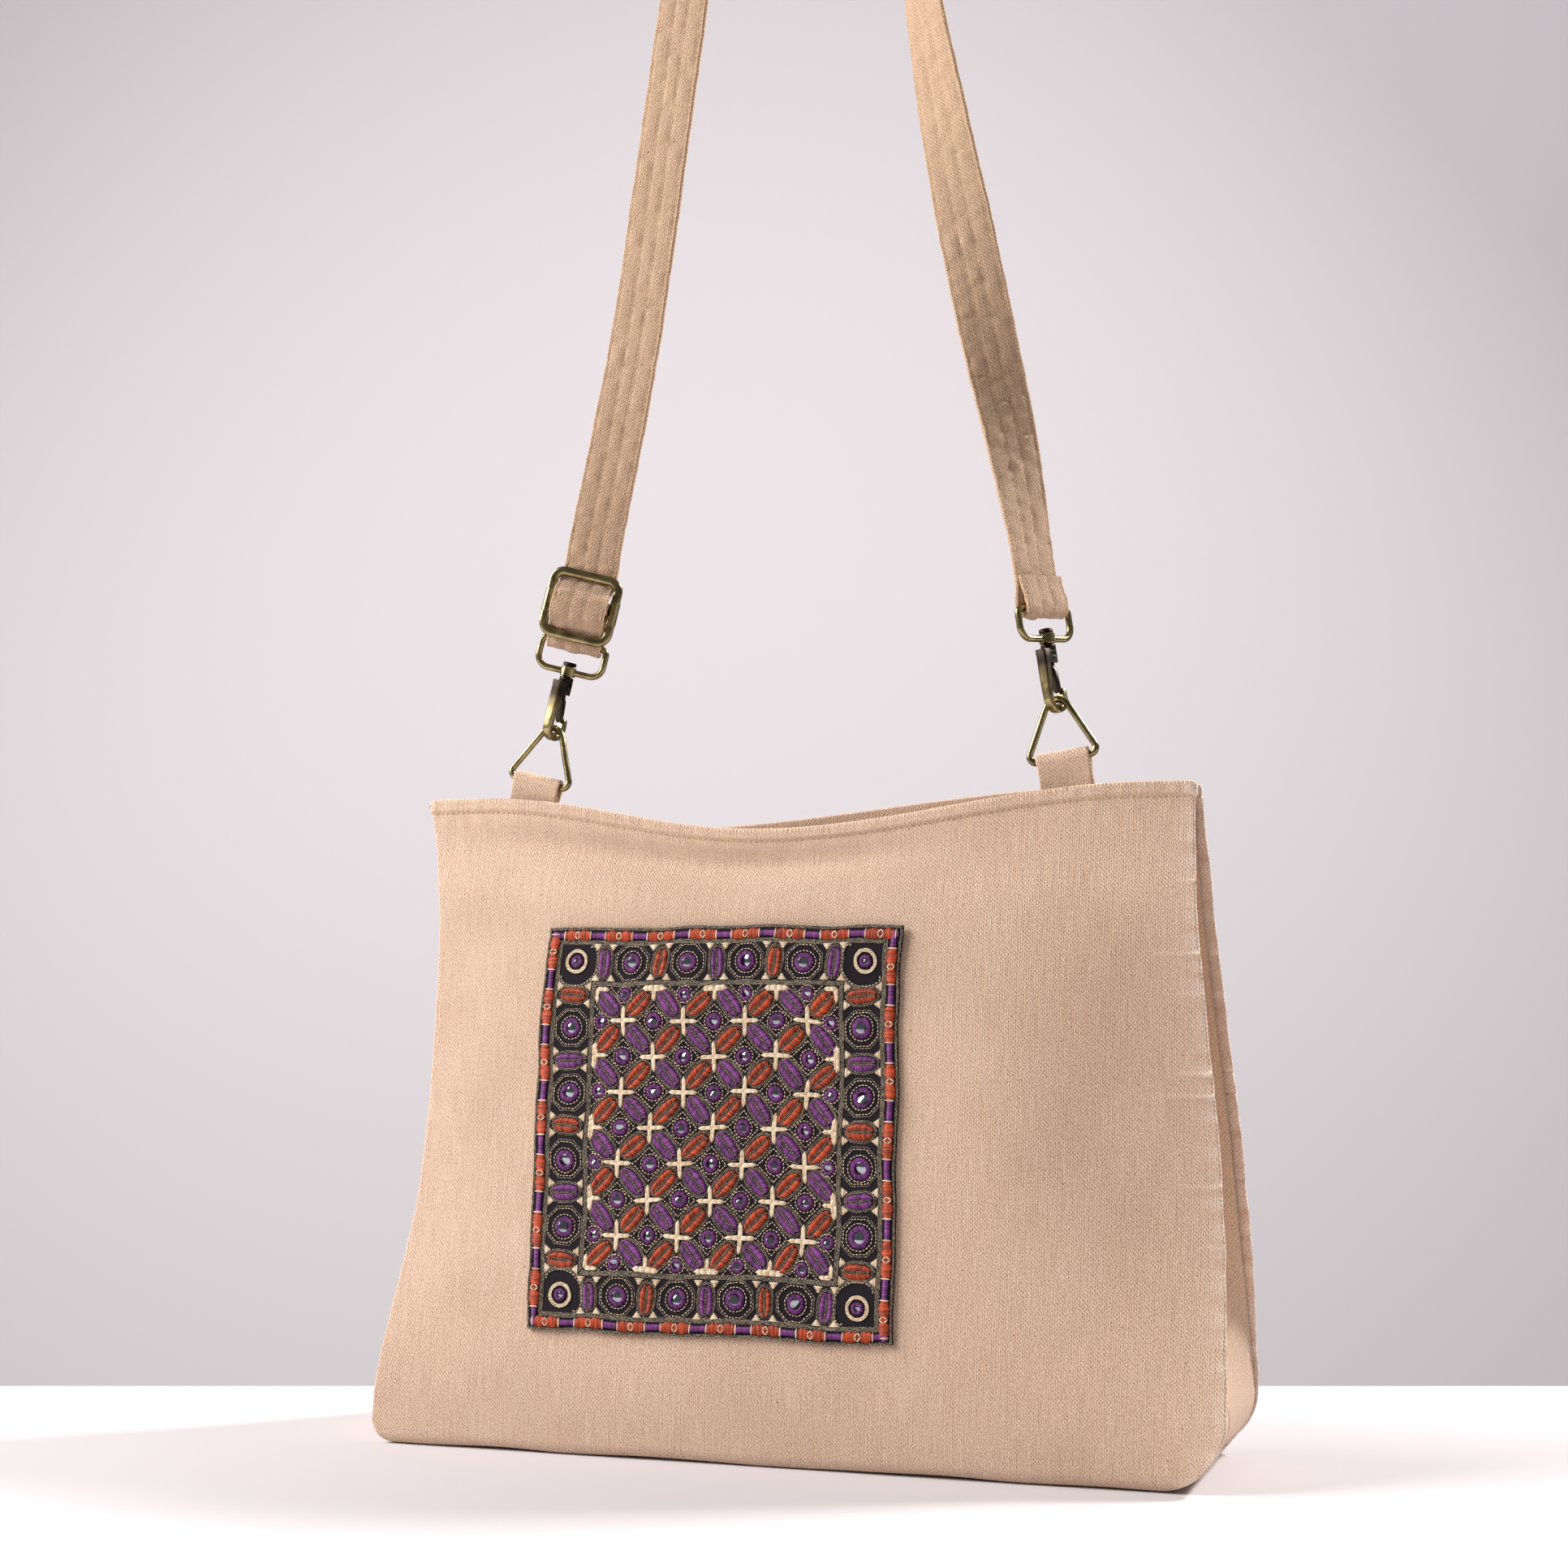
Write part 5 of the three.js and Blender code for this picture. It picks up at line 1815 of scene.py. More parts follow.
@dataclass
class SnapHook:
    """One side's hardware: the triangle ring, the swivel eye, the hook and its gate."""

    hang: SideHang
    brass: bpy.types.Material
    blackened: bpy.types.Material
    wire: float = 3.0
    eye_half: float = 15.6
    eye_lower_bend: float = 5.5
    eye_upper_bend: float = 2.7
    boss_radius: float = 3.6
    boss_half: float = 2.3
    boss_bore: float = 2.3
    boss_soft: float = 0.35
    bow_centre: float = -26.4
    bow_radius: float = 5.1
    pivot: tuple[float, float] = (0.2, -8.5)
    gate_end: tuple[float, float] = (2.2, -24.0)
    ageing: tuple[float, float] = (-23.0, -11.0)
    stud: Profile = (
        (0.3, -6.0), (2.3, -6.0), (2.3, -4.9), (3.0, -4.9), (3.3, -4.55), (3.3, -3.0), (3.05, -2.65),
        (1.9, -2.65), (1.9, 2.65), (2.9, 2.65), (3.1, 2.85), (3.1, 3.9), (2.7, 4.4), (0.3, 4.4),
    )
    spine: tuple[BarRow, ...] = (
        BarRow(-4.3, -4.9, 2.5, 2.1), BarRow(-4.3, -5.3, 2.7, 2.3), BarRow(-4.3, -9.0, 2.7, 2.3),
        BarRow(-4.5, -11.0, 2.65, 2.1), BarRow(-4.8, -13.6, 2.6, 1.85), BarRow(-5.0, -16.6, 2.5, 1.65),
        BarRow(-5.1, -19.5, 2.4, 1.55), BarRow(-5.1, -22.5, 2.3, 1.5),
    )
    cap: tuple[Spot, Spot] = ((-2.5, -6.3, -7.4), (2.5, 2.2, -4.75))
    cheeks: tuple[tuple[Spot, Spot], ...] = (
        ((-2.5, -2.6, -10.9), (-1.4, 2.2, -6.0)), ((1.4, -2.6, -10.9), (2.5, 2.2, -6.0)),
    )
    pin: Profile = ((0.6, -2.75), (0.9, -2.62), (1.0, -2.4), (1.0, 2.4), (0.9, 2.62), (0.6, 2.75))
    gate_eye: Profile = ((1.75, -1.1), (1.9, -0.95), (1.9, 0.95), (1.75, 1.1))
    gate_bore: Profile = ((1.35, -4.0), (1.35, 4.0))

    def bent_wire(self, outline: Array, matrix: Matrix) -> Skin:
        """Bends the hardware's round wire to a flat closed outline."""
        section = oval(20, self.wire / 2, self.wire / 2)
        return Skin().loft(moved(wire_loop(outline, section), matrix), ring=True)

    def ring(self) -> bpy.types.Object:
        """Makes the bent wire triangle."""
        hang = self.hang
        half = hang.ring_base / 2
        outline = bent_outline((
            Corner(-half, 0, hang.ring_bend),
            Corner(half, 0, hang.ring_bend),
            Corner(0, hang.ring_height, hang.apex_bend),
        ))
        skin = self.bent_wire(outline, hang.ring())
        name = f"triangle_ring_{hang.name}"
        return settle(skin.shape(f"{name}_wire", self.brass), "root", Slot.BRASS, name)

    def eye(self) -> bpy.types.Object:
        """Makes the rounded wire eye with its bored boss."""
        half = self.eye_half
        outline = bent_outline((
            Corner(-half, 0, self.eye_lower_bend),
            Corner(half, 0, self.eye_lower_bend),
            Corner(half, EYE_HEIGHT, self.eye_upper_bend),
            Corner(-half, EYE_HEIGHT, self.eye_upper_bend),
        ))
        matrix = self.hang.strap_end()
        loop = self.bent_wire(outline, matrix)
        radius, end, soft = self.boss_radius, self.boss_half, self.boss_soft
        profile = ((radius - soft, -end), (radius, soft - end), (radius, end - soft), (radius - soft, end))
        boss = Skin().loft(moved(turned_post(profile), matrix))
        bore = Skin().loft(moved(turned_post(((self.boss_bore, -8.0), (self.boss_bore, 8.0))), matrix))
        name = f"swivel_eye_{self.hang.name}"
        made = fused(f"{name}_wire", self.brass, (loop, boss), (bore,), bevel=0.0)
        return settle(made, "root", Slot.BRASS, name)

    def bar_sections(self) -> Array:
        """Carries a squarish section down the hook's spine, round its bow and up to its tip.

        Returns:
            Sections by points by 3, in the hook's frame.
        """
        angles = math.pi * (1 + np.linspace(0, 1, 22))
        radius = self.bow_radius
        centre = self.bow_centre
        bow = [BarRow(radius * math.cos(a), centre + radius * math.sin(a), 2.05, 1.5) for a in angles]
        tip = (
            BarRow(radius, centre + 3.4, 1.75, 1.45),
            BarRow(radius, centre + 4.1, 1.55, 1.25),
            BarRow(radius, centre + 4.4, 1.1, 0.8),
        )
        rows = np.array((*self.spine, *bow, *tip))
        along = unit(np.gradient(rows[:, :2], axis=0))
        radial = np.stack((-along[:, 1], along[:, 0]), -1)
        shape = oval(28, 1.0, 1.0, 5.0)
        side_view = rows[:, None, :2] + radial[:, None] * (shape[None, :, 1:] * rows[:, None, 3:4])
        across = shape[None, :, 0] * rows[:, 2:3]
        return np.stack((across, side_view[..., 0], side_view[..., 1]), -1)

    def block(self, low: Spot, high: Spot) -> Skin:
        """Makes a plain block between two corners in the hook's frame."""
        (x0, y0, z0), (x1, y1, z1) = low, high
        loop = [(x0, y0), (x1, y0), (x1, y1), (x0, y1)]
        sections = np.array([[(x, y, z) for x, y in loop] for z in (z0, z1)])
        return Skin().loft(moved(sections, self.hang.hook()))

    def cross_post(self, profile: Profile, matrix: Matrix) -> Skin:
        """Makes a turned post that lies across the hook, at the gate's pivot."""
        sections = turned_post(profile)[..., [2, 0, 1]]
        return Skin().loft(moved(sections + np.array((0.0, *self.pivot)), matrix))

    def hook(self) -> bpy.types.Object:
        """Makes the cast hook: its stud, shoulder with a slot for the gate, spine, bow and tip."""
        matrix = self.hang.hook()
        stud = Skin().loft(moved(turned_post(self.stud), matrix))
        spine = Skin().loft(moved(self.bar_sections(), matrix))
        blocks = [self.block(low, high) for low, high in (self.cap, *self.cheeks)]
        pin = self.cross_post(self.pin, matrix)
        name = f"hook_{self.hang.name}"
        made = fused(f"{name}_cast", self.brass, (spine, *blocks, stud, pin))
        self.age(made.data)
        return settle(made, f"{name}_body", Slot.BRASS, name)

    def age(self, mesh: bpy.types.Mesh) -> None:
        """Darkens a hook from its bow, which wear keeps bright, up to its blackened shoulder and stud."""
        height = moved(bag_points(mesh), self.hang.hook().inverted())[:, 2]
        bright, dark = self.ageing
        set_shade(mesh, (height - bright) / (dark - bright))

    def gate(self) -> bpy.types.Object:
        """Makes the spring lever that shuts the hook."""
        matrix = self.hang.hook()
        start = np.array(self.pivot)
        run = np.array(self.gate_end) - start
        length = float(np.linalg.norm(run))
        along = run / length
        across = np.array((-along[1], along[0]))
        rows = (
            (0.2, 1.05, 1.0), (4.4, 1.05, 1.05), (5.6, 1.75, 1.15), (length - 5, 1.8, 1.1),
            (length - 1.2, 1.75, 1.0), (length - 0.4, 1.5, 0.85), (length, 1.0, 0.5),
        )
        shape = oval(20, 1.0, 1.0, 5.0)
        sections = np.array([
            [(x * wide, *(start + along * down + across * y * deep)) for x, y in shape]
            for down, wide, deep in rows
        ])
        lever = Skin().loft(moved(sections, matrix))
        eye = self.cross_post(self.gate_eye, matrix)
        bore = self.cross_post(self.gate_bore, matrix)
        name = f"gate_{self.hang.name}"
        made = fused(f"{name}_lever", self.blackened, (lever, eye), (bore,))
        return settle(made, f"{name}_body", Slot.BLACKENED, name)

    def build(self) -> list[bpy.types.Object]:
        """Makes the four pieces of this side."""
        return [self.ring(), self.eye(), self.hook(), self.gate()]


@dataclass
class Slider:
    """The strap's rounded slider and its sleeved middle bar."""

    hang: SideHang
    brass: bpy.types.Material
    half_width: float = 15.5
    half_height: float = 14.6
    bend: float = 5.0
    wire: float = 3.2
    sleeve_bore: float = 1.9
    sleeve_radius: float = 2.4
    sleeve_half: float = 5.5

    def build(self) -> list[bpy.types.Object]:
        """Makes the frame and the bar.

        Returns:
            The two pieces.
        """
        matrix = self.hang.strap_end() @ Matrix.Translation((0, -SLIDER_FORWARD, SLIDER_RISE))
        width = self.half_width
        height = self.half_height
        outline = bent_outline([
            Corner(x, z, self.bend)
            for x, z in ((-width, -height), (width, -height), (width, height), (-width, height))
        ])
        radius = self.wire / 2
        section = oval(20, radius + 0.5, radius, 2.8)
        wire = Skin().loft(moved(wire_loop(outline, section), matrix), ring=True)
        frame_piece = settle(wire.shape("slider_frame_wire", self.brass), "root", Slot.BRASS, "slider_frame")
        reach = width - (self.sleeve_bore + self.sleeve_radius) / 2
        rod = Skin().loft(moved(turned_post(((radius, -reach), (radius, reach)))[..., [2, 0, 1]], matrix))
        tube = sleeve(self.sleeve_bore + 0.05, self.sleeve_radius, self.sleeve_half)
        sleeves = [
            Skin().loft(moved(tube + np.array((side, 0.0, 0.0)), matrix), ring=True)
            for side in (-width, width)
        ]
        bar = fused("slider_bar_cast", self.brass, (rod, *sleeves), bevel=0.0)
        return [frame_piece, settle(bar, "root", Slot.BRASS, "slider_bar")]


# Mirror-work patch


class Thread(Enum):
    """The patch's threads, as they are charted."""

    PURPLE_SATIN = "purple_satin"
    RUST_SATIN = "rust_satin"
    PURPLE_RING = "purple_ring"
    CREAM = "cream"
    DASH = "cream_dash"
    TAUPE = "taupe_chain"
    LINE = "taupe_line"


class Yarn(NamedTuple):
    """A stitch's thread: its girth, how far mid stitch stands off the ground, and its middle shade."""

    girth: float
    lift: float
    tone: float = 0.5


class RunStitch(NamedTuple):
    """Stitches along a line: from one to the next, the share of that which each covers, and their yarn."""

    pitch: float
    share: float
    yarn: Yarn


class Eyelet(NamedTuple):
    """Radii of a mirror in sight, of the ring that holds it and of the dashes round that, or 0 for none."""

    mirror: float
    ring: float
    dashes: float


def placed(points: Array, centre: Array, turn: float) -> Array:
    """Turns flat points about zero and moves them to a centre."""
    cosine = math.cos(turn)
    sine = math.sin(turn)
    return points @ np.array(((cosine, sine), (-sine, cosine))) + centre


def lens_half(share: Array, width: float) -> Array:
    """Gives a lens motif's half width at shares of its half length."""
    return width / 2 * np.maximum(1 - np.abs(share) ** 2.7, 0) ** 0.5


def ellipse(centre: Array, radius: float, squeeze: float = 1.0, count: int = 40) -> Array:
    """Gives a flat ring of points."""
    angles = np.arange(count) / count * TURN
    return np.stack((radius * squeeze * np.cos(angles), radius / squeeze * np.sin(angles)), -1) + centre


def rectangle(half_width: float, half_height: float) -> Array:
    """Gives the corners of an upright rectangle, from the lower left round."""
    return np.array([(x * half_width, z * half_height) for x, z in ((-1, -1), (1, -1), (1, 1), (-1, 1))])


@dataclass
class MirrorPatch:
    """The black square of mirror work: its ground, its stitches and its mirrors.

    The chart is drawn on the flat patch, with zero at its middle, and is then laid on the bag's front.
    """

    form: BagForm
    half_width: float = 84.0
    half_height: float = 88.0
    middle_z: float = 141.0
    gap: float = 0.5
    thick: float = 1.3
    cells: int = 8
    field_half: tuple[float, float] = (57.5, 62.0)
    border_half: tuple[float, float] = (68.0, 72.5)
    frame_half: tuple[float, float] = (76.6, 80.8)
    band_half: tuple[float, float] = (80.3, 84.4)
    edge_half: tuple[float, float] = (83.2, 87.3)
    field_lens: tuple[float, float] = (13.6, 7.5)
    upright_lens: tuple[float, float] = (12.8, 7.2)
    level_lens: tuple[float, float] = (12.8, 6.4)
    diamond: float = 7.2
    octagon_dashes: float = 7.9
    octagon_line: float = 8.9
    bay_radius: float = 10.8
    band_groups: tuple[int, int] = (8, 7)
    band_start: float = 0.32
    bar_share: float = 0.36
    cross_shift: float = 1.25
    cross_arm: tuple[float, float] = (6.9, 2.1)
    side_arm: tuple[float, float] = (5.9, 2.8)
    edge_eyelet: Eyelet = Eyelet(1.4, 3.15, 3.65)
    octagon_eyelet: Eyelet = Eyelet(2.1, 4.2, 4.8)
    corner_eyelet: Eyelet = Eyelet(1.15, 2.9, 0.0)
    field_mirror: tuple[float, float] = (1.5, 1.85)
    field_rings: tuple[float, float] = (3.7, 4.25)
    satin_yarn: Yarn = Yarn(0.68, 0.72)
    ring_yarn: Yarn = Yarn(0.58, 0.62)
    chain_yarn: Yarn = Yarn(0.5, 0.2)
    wedge_yarn: Yarn = Yarn(0.85, 0.35, 0.6)
    band_yarn: Yarn = Yarn(0.58, 0.95, 0.55)
    tie_yarn: Yarn = Yarn(0.72, 1.0, 0.7)
    knot_yarn: Yarn = Yarn(0.58, 1.2, 0.7)
    dashes: RunStitch = RunStitch(1.5, 0.78, Yarn(0.5, 0.45))
    midrib: RunStitch = RunStitch(1.1, 1.15, Yarn(0.4, 0.62))
    ring_edge: RunStitch = RunStitch(0.95, 1.2, Yarn(0.5, 0.85))
    octagon_edge: RunStitch = RunStitch(1.3, 1.1, Yarn(0.5, 0.2))
    rope: RunStitch = RunStitch(1.5, 1.5, Yarn(0.62, 0.35))
    draw: np.random.Generator = field(default_factory=lambda: np.random.default_rng(64))
    charted: dict[Thread, list[StitchLine]] = field(
        default_factory=lambda: {thread: [] for thread in Thread}
    )
    mirrors: list[tuple[Array, float]] = field(default_factory=list)

    def on_front(self, flat: Array, lift: Array | float = 0.0) -> Array:
        """Lays flat points on the bag's front, with the small wander of hand work.

        Args:
            flat: Places across and up the patch.
            lift: How far each stands off the ground's face.
        Returns:
            Points in the bag's frame.
        """
        u = flat[..., 0]
        v = flat[..., 1]
        bow = 3.0 * (1 - (v / self.half_height) ** 2) * np.clip(-u / self.half_width, 0, 1) ** 1.5
        x = PATCH_MIDDLE_X + u - bow + 0.5 * wander(v, 90, 401) + 0.3 * wander(u * 0.7 + v, 38, 402)
        z = self.middle_z + v + 0.5 * wander(u, 85, 403) + 0.3 * wander(v * 0.7 - u, 36, 404)
        out = self.form.wall_out(Face.FRONT, x, z) + self.gap + self.thick + lift
        return np.stack((x, Face.FRONT.value * out, z), -1)

    def normal(self, flat: Array) -> Array:
        """Gives the way off the patch at flat places."""
        right = self.on_front(flat + np.array((0.5, 0.0))) - self.on_front(flat - np.array((0.5, 0.0)))
        up = self.on_front(flat + np.array((0.0, 0.5))) - self.on_front(flat - np.array((0.0, 0.5)))
        return unit(np.cross(right, up))

    def sew(self, thread: Thread, start: Array, end: Array, yarn: Yarn) -> None:
        """Charts straight stitches from their starts to their ends.

        Args:
            thread: Which thread.
            start: Flat starts.
            end: Flat ends.
            yarn: The stitches' girth, lift and shade.
        """
        count = len(start)
        first = self.on_front(start, yarn.lift)
        last = self.on_front(end, yarn.lift)
        self.charted[thread].append(StitchLine(
            (first + last) / 2,
            unit(last - first),
            self.normal((start + end) / 2),
            np.linalg.norm(last - first, axis=1),
            yarn.girth * self.draw.uniform(0.85, 1.15, count),
            np.clip(self.draw.normal(yarn.tone, 0.33, count), 0, 1),
        ))

    def run(
        self,
        thread: Thread,
        points: Array,
        stitch: RunStitch,
        closed: bool = True,
        aside: float = 0.0,
        slant: float = 0.0,
    ) -> None:
        """Charts stitches along a line.

        Args:
            thread: Which thread.
            points: The line.
            stitch: Its stitches.
            closed: Whether the line ends where it starts.
            aside: How far the row stands to the left of the line.
            slant: The turn of each stitch off the line.
        """
        line = np.concatenate((points, points[:1])) if closed else points
        length = lengths(line)
        count = max(int(length[-1] / stitch.pitch), 1)
        stops = (np.arange(count) + 0.5 + 0.5 * (slant > 0)) / count * length[-1] % length[-1]
        before, after = np.maximum(stops - 0.3, 0), np.minimum(stops + 0.3, length[-1])
        ahead = unit(between(after, length, line) - between(before, length, line))
        left = np.stack((-ahead[:, 1], ahead[:, 0]), -1)
        middle = between(stops, length, line) + left * aside + self.draw.normal(0, 0.06, (count, 2))
        reach = (ahead * math.cos(slant) + left * math.sin(slant)) * (stitch.pitch * stitch.share / 2)
        self.sew(thread, middle - reach, middle + reach, stitch.yarn)

    def dash(self, points: Array, closed: bool = True) -> None:
        """Charts a line of cream dashes."""
        self.run(Thread.DASH, points, self.dashes, closed)

    def chain(
        self, thread: Thread, points: Array, closed: bool = True, wide: float = 0.27, pitch: float = 1.2
    ) -> None:
        """Charts a line of chain stitch: two rows of leaning stitches side by side."""
        stitch = RunStitch(pitch, 1.15, self.chain_yarn)
        for side in (-1, 1):
            self.run(thread, points, stitch, closed, side * wide, -side * 0.25)

    def lens(self, centre: Array, turn: float, size: tuple[float, float], thread: Thread) -> None:
        """Charts a padded satin lens in two halves with a chained midrib and outline.

        Args:
            centre: Its middle.
            turn: The turn of its length.
            size: Its length and width in satin.
            thread: Its satin thread.
        """
        turn += self.draw.normal(0, 0.05)
        length = size[0] * self.draw.uniform(0.95, 1.04)
        width = size[1] * self.draw.uniform(0.92, 1.05)
        share = np.linspace(-0.985, 0.985, int(length / 0.54))
        half = lens_half(share, width)
        for side in (-1, 1):
            outer = np.stack((share * length / 2, side * half), -1)
            inner = np.stack((share * length / 2 - 0.4 * half, np.full_like(half, side * 0.2)), -1)
            ends = (placed(points, centre, turn) for points in (inner, outer))
            self.sew(thread, *ends, self.satin_yarn)
        around = np.concatenate((np.linspace(1, -1, 22), np.linspace(-1, 1, 22)[1:-1]))
        sides = np.concatenate((np.ones(22), -np.ones(20)))
        shape = np.stack((around * (length / 2 + 0.55), sides * (lens_half(around, width) + 0.55)), -1)
        self.chain(Thread.TAUPE, placed(shape, centre, turn), wide=0.34, pitch=1.4)
        for aside in (-0.3, 0.3):
            rib = placed(np.array(((-length * 0.46, 0.0), (length * 0.46, 0.0))), centre, turn)
            self.run(Thread.TAUPE, rib, self.midrib, False, aside, 0.12)

    def eyelet(self, centre: Array, size: Eyelet) -> None:
        """Charts a mirror held by a buttonhole ring with a dashed ring round it.

        Args:
            centre: Its middle.
            size: Its radii.
        """
        squeeze = self.draw.uniform(0.95, 1.04)
        count = int(TURN * size.ring / 0.7)
        inside = ellipse(centre, size.mirror * 0.92, squeeze, count)
        outside = ellipse(centre, size.ring, squeeze, count) + self.draw.normal(0, 0.08, (count, 2))
        self.sew(Thread.PURPLE_RING, inside, np.roll(outside, 1, 0), self.ring_yarn)
        self.run(Thread.PURPLE_RING, ellipse(centre, size.mirror + 0.5, squeeze), self.ring_edge)
        if size.dashes:
            self.dash(ellipse(centre, size.dashes, squeeze))
        self.mirrors.append((centre, size.mirror + 0.35))

    def spindle(self, start: Array, end: Array, width: float) -> None:
        """Charts a cream spindle of tapered strands."""
        along = unit(end - start)
        left = np.array((-along[1], along[0]))
        length = float(np.linalg.norm(end - start))
        yarn = Yarn(0.5 * width, 0.42, 0.66)
        for aside in (-1.0, 0.0, 1.0):
            foot = start + left * aside * width * 0.27
            tip = foot + along * length * (1 - 0.12 * abs(aside)) - left * aside * width * 0.05
            for low, high in ((-0.12, 0.66), (0.4, 1.0)):
                ends = ((foot + (tip - foot) * share)[None] for share in (low, high))
                self.sew(Thread.CREAM, *ends, yarn)

    def cross(self, place: Array, inside: Array) -> None:
        """Charts a cream cross, with a bar where it stands on the field's edge.

        Args:
            place: Its node.
            inside: The way into the field across and up, 0 away from the edges.
        """
        centre = place + inside * self.cross_shift
        for along in np.array(((1.0, 0.0), (-1.0, 0.0), (0.0, 1.0), (0.0, -1.0))):
            facing = float(along @ inside)
            if facing >= 0:
                beside = inside.any() and facing == 0
                arm, width = self.side_arm if beside else self.cross_arm
                reach = arm - 1.2 * (facing > 0) + self.draw.normal(0, 0.2)
                aim = along + np.array((-along[1], along[0])) * self.draw.normal(0, 0.03)
                self.spindle(centre + along * 0.2, centre + aim * reach, width)

    def field_chart(self) -> None:
        """Charts the field: lenses in the cells, crosses and mirror diamonds on the nodes."""
        half = np.array(self.field_half)
        pitch = 2 * half / self.cells
        lean = math.atan2(pitch[1], pitch[0])
        for row in range(self.cells):
            for column in range(self.cells):
                centre = np.array((column + 0.5, row + 0.5)) * pitch - half
                rising = (row + column) % 2 == 0
                thread = Thread.RUST_SATIN if rising else Thread.PURPLE_SATIN
                self.lens(centre, lean if rising else -lean, self.field_lens, thread)
        for row in range(self.cells + 1):
            for column in range(self.cells + 1):
                place = np.array((column, row)) * pitch - half
                inside = np.array([(at == 0) * 1.0 - (at == self.cells) * 1.0 for at in (column, row)])
                if (row + column) % 2 == 0:
                    self.cross(place, inside)
                    continue
                if inside.any():
                    corners = np.array(((0, -1), (1, 0), (0, 1))) * self.diamond
                    self.dash(placed(corners, place, math.atan2(inside[1], inside[0])), False)
                    self.eyelet(place + inside * 3.7, self.edge_eyelet)
                else:
                    self.dash(np.array(((1, 0), (0, 1), (-1, 0), (0, -1))) * self.diamond + place)
                    shift = self.draw.normal(0, 0.25, 2)
                    mirror = self.draw.uniform(*self.field_mirror)
                    self.eyelet(place + shift, Eyelet(mirror, *self.field_rings))

    def border_chart(self) -> None:
        """Charts the border: lenses and mirror octagons in turn, with cream wedges, and the corners."""
        half = np.array(self.border_half)
        stops = np.linspace(-1, 1, 11)[1:-1]
        octagon = placed(ellipse(np.zeros(2), 1.0, 1.0, 8), np.zeros(2), TURN / 16)
        for toward, upright in (((0, -1), 0), ((0, 1), 0), ((-1, 0), 1), ((1, 0), 1)):
            toward = np.array(toward)
            along = np.abs(toward[::-1])
            for k, stop in enumerate(stops):
                centre = (toward + along * stop) * half
                if k % 2:
                    scale = self.draw.uniform(0.98, 1.1) * (1.12 if toward[0] > 0 else 1.0)
                    self.dash(centre + octagon * self.octagon_dashes)
                    self.run(Thread.TAUPE, centre + octagon * self.octagon_line, self.octagon_edge)
                    radii = Eyelet(*(radius * scale for radius in self.octagon_eyelet))
                    self.eyelet(centre + self.draw.normal(0, 0.3, 2), radii)
                    continue
                thread = Thread.RUST_SATIN if (k // 2 + upright) % 2 else Thread.PURPLE_SATIN
                turn, size = (0.0, self.upright_lens) if upright else (math.pi / 2, self.level_lens)
                self.lens(centre, turn, size, thread)
                for way in (-1, 1):
                    for aside in (-1, 1):
                        tip = centre + toward * way * 7.6 + along * aside * 3.5
                        self.wedge(tip, along * aside, -toward * way)
        limit = np.array(self.frame_half) - 1.5
        for corner in np.array(((-1, -1), (-1, 1), (1, -1), (1, 1))):
            centre = half * corner + corner * 0.3
            angles = math.atan2(-corner[1], -corner[0]) + np.linspace(-1.75, 1.75, 22)
            bay = centre + self.bay_radius * np.stack((np.cos(angles), np.sin(angles)), -1)
            bay = np.clip(bay, -limit, limit)
            self.dash(bay, False)
            self.chain(Thread.TAUPE, centre + (bay - centre) * 1.08, False)
            for radius in (4.1, 4.6, 5.1):
                self.run(Thread.CREAM, ellipse(centre, radius), self.rope, slant=0.06)
            self.eyelet(centre, self.corner_eyelet)

    def wedge(self, base: Array, along: Array, inward: Array) -> None:
        """Charts a small cream wedge that stands on a border line.

        Args:
            base: The middle of its foot.
            along: The way along the line, off the lens.
            inward: The way off the line.
        """
        for share in (0.0, 0.25, 0.5, 0.75):
            reach = 2.2 * (1 - share * 0.95)
            middle = base + inward * (share * 2.6 - 0.2) + along * 0.3
            ends = (middle - along * reach)[None], (middle + along * reach)[None]
            self.sew(Thread.CREAM, *ends, self.wedge_yarn)

    def band_chart(self) -> None:
        """Charts the outer band: padded purple bars and pairs of rust swells, tied by cream stitches."""
        half = np.array(self.band_half)
        bar = self.bar_share
        swell_length = (1 - bar) / 2
        for toward, groups in (((0, -1), 0), ((1, 0), 1), ((0, 1), 0), ((-1, 0), 1)):
            toward = np.array(toward, dtype=float)
            along = np.array((-toward[1], toward[0]))
            reach = float(np.abs(along) @ half) + 1.6
            period = 2 * reach / self.band_groups[groups]
            middle = toward * half
            stops = np.arange(-reach, reach, 0.4)
            phase = ((stops + reach) / period + self.band_start) % 1
            swell_share = np.abs(np.sin(math.pi * np.clip((phase - bar) / swell_length, 0, 2)))
            rust = phase > bar
            wide = np.where(rust, 1.7 + 1.0 * swell_share, 1.45)
            spots = middle + along * stops[:, None]
            lean = np.where(rust, 0.25 * np.sin(phase * 40), 0.05)[:, None] * along
            for thread, chosen in ((Thread.RUST_SATIN, rust), (Thread.PURPLE_SATIN, ~rust)):
                across = toward * wide[:, None] + lean
                self.sew(thread, (spots - across)[chosen], (spots + across)[chosen], self.band_yarn)
            for k in range(self.band_groups[groups] + 1):
                start = -reach + (k - self.band_start) * period
                for tie in (start, start + bar * period):
                    if abs(tie) < reach:
                        spot = (middle + along * tie)[None]
                        ends = spot - toward * 2.2 + along * 0.15, spot + toward * 2.2
                        self.sew(Thread.DASH, *ends, self.tie_yarn)
                knot = start + (bar + swell_length) * period
                if abs(knot) < reach - 1:
                    points = np.array((toward * 1.9, along * 1.4, toward * -1.9, along * -1.4))
                    corners = middle + along * knot + points
                    self.sew(Thread.DASH, corners, np.roll(corners, -1, 0), self.knot_yarn)

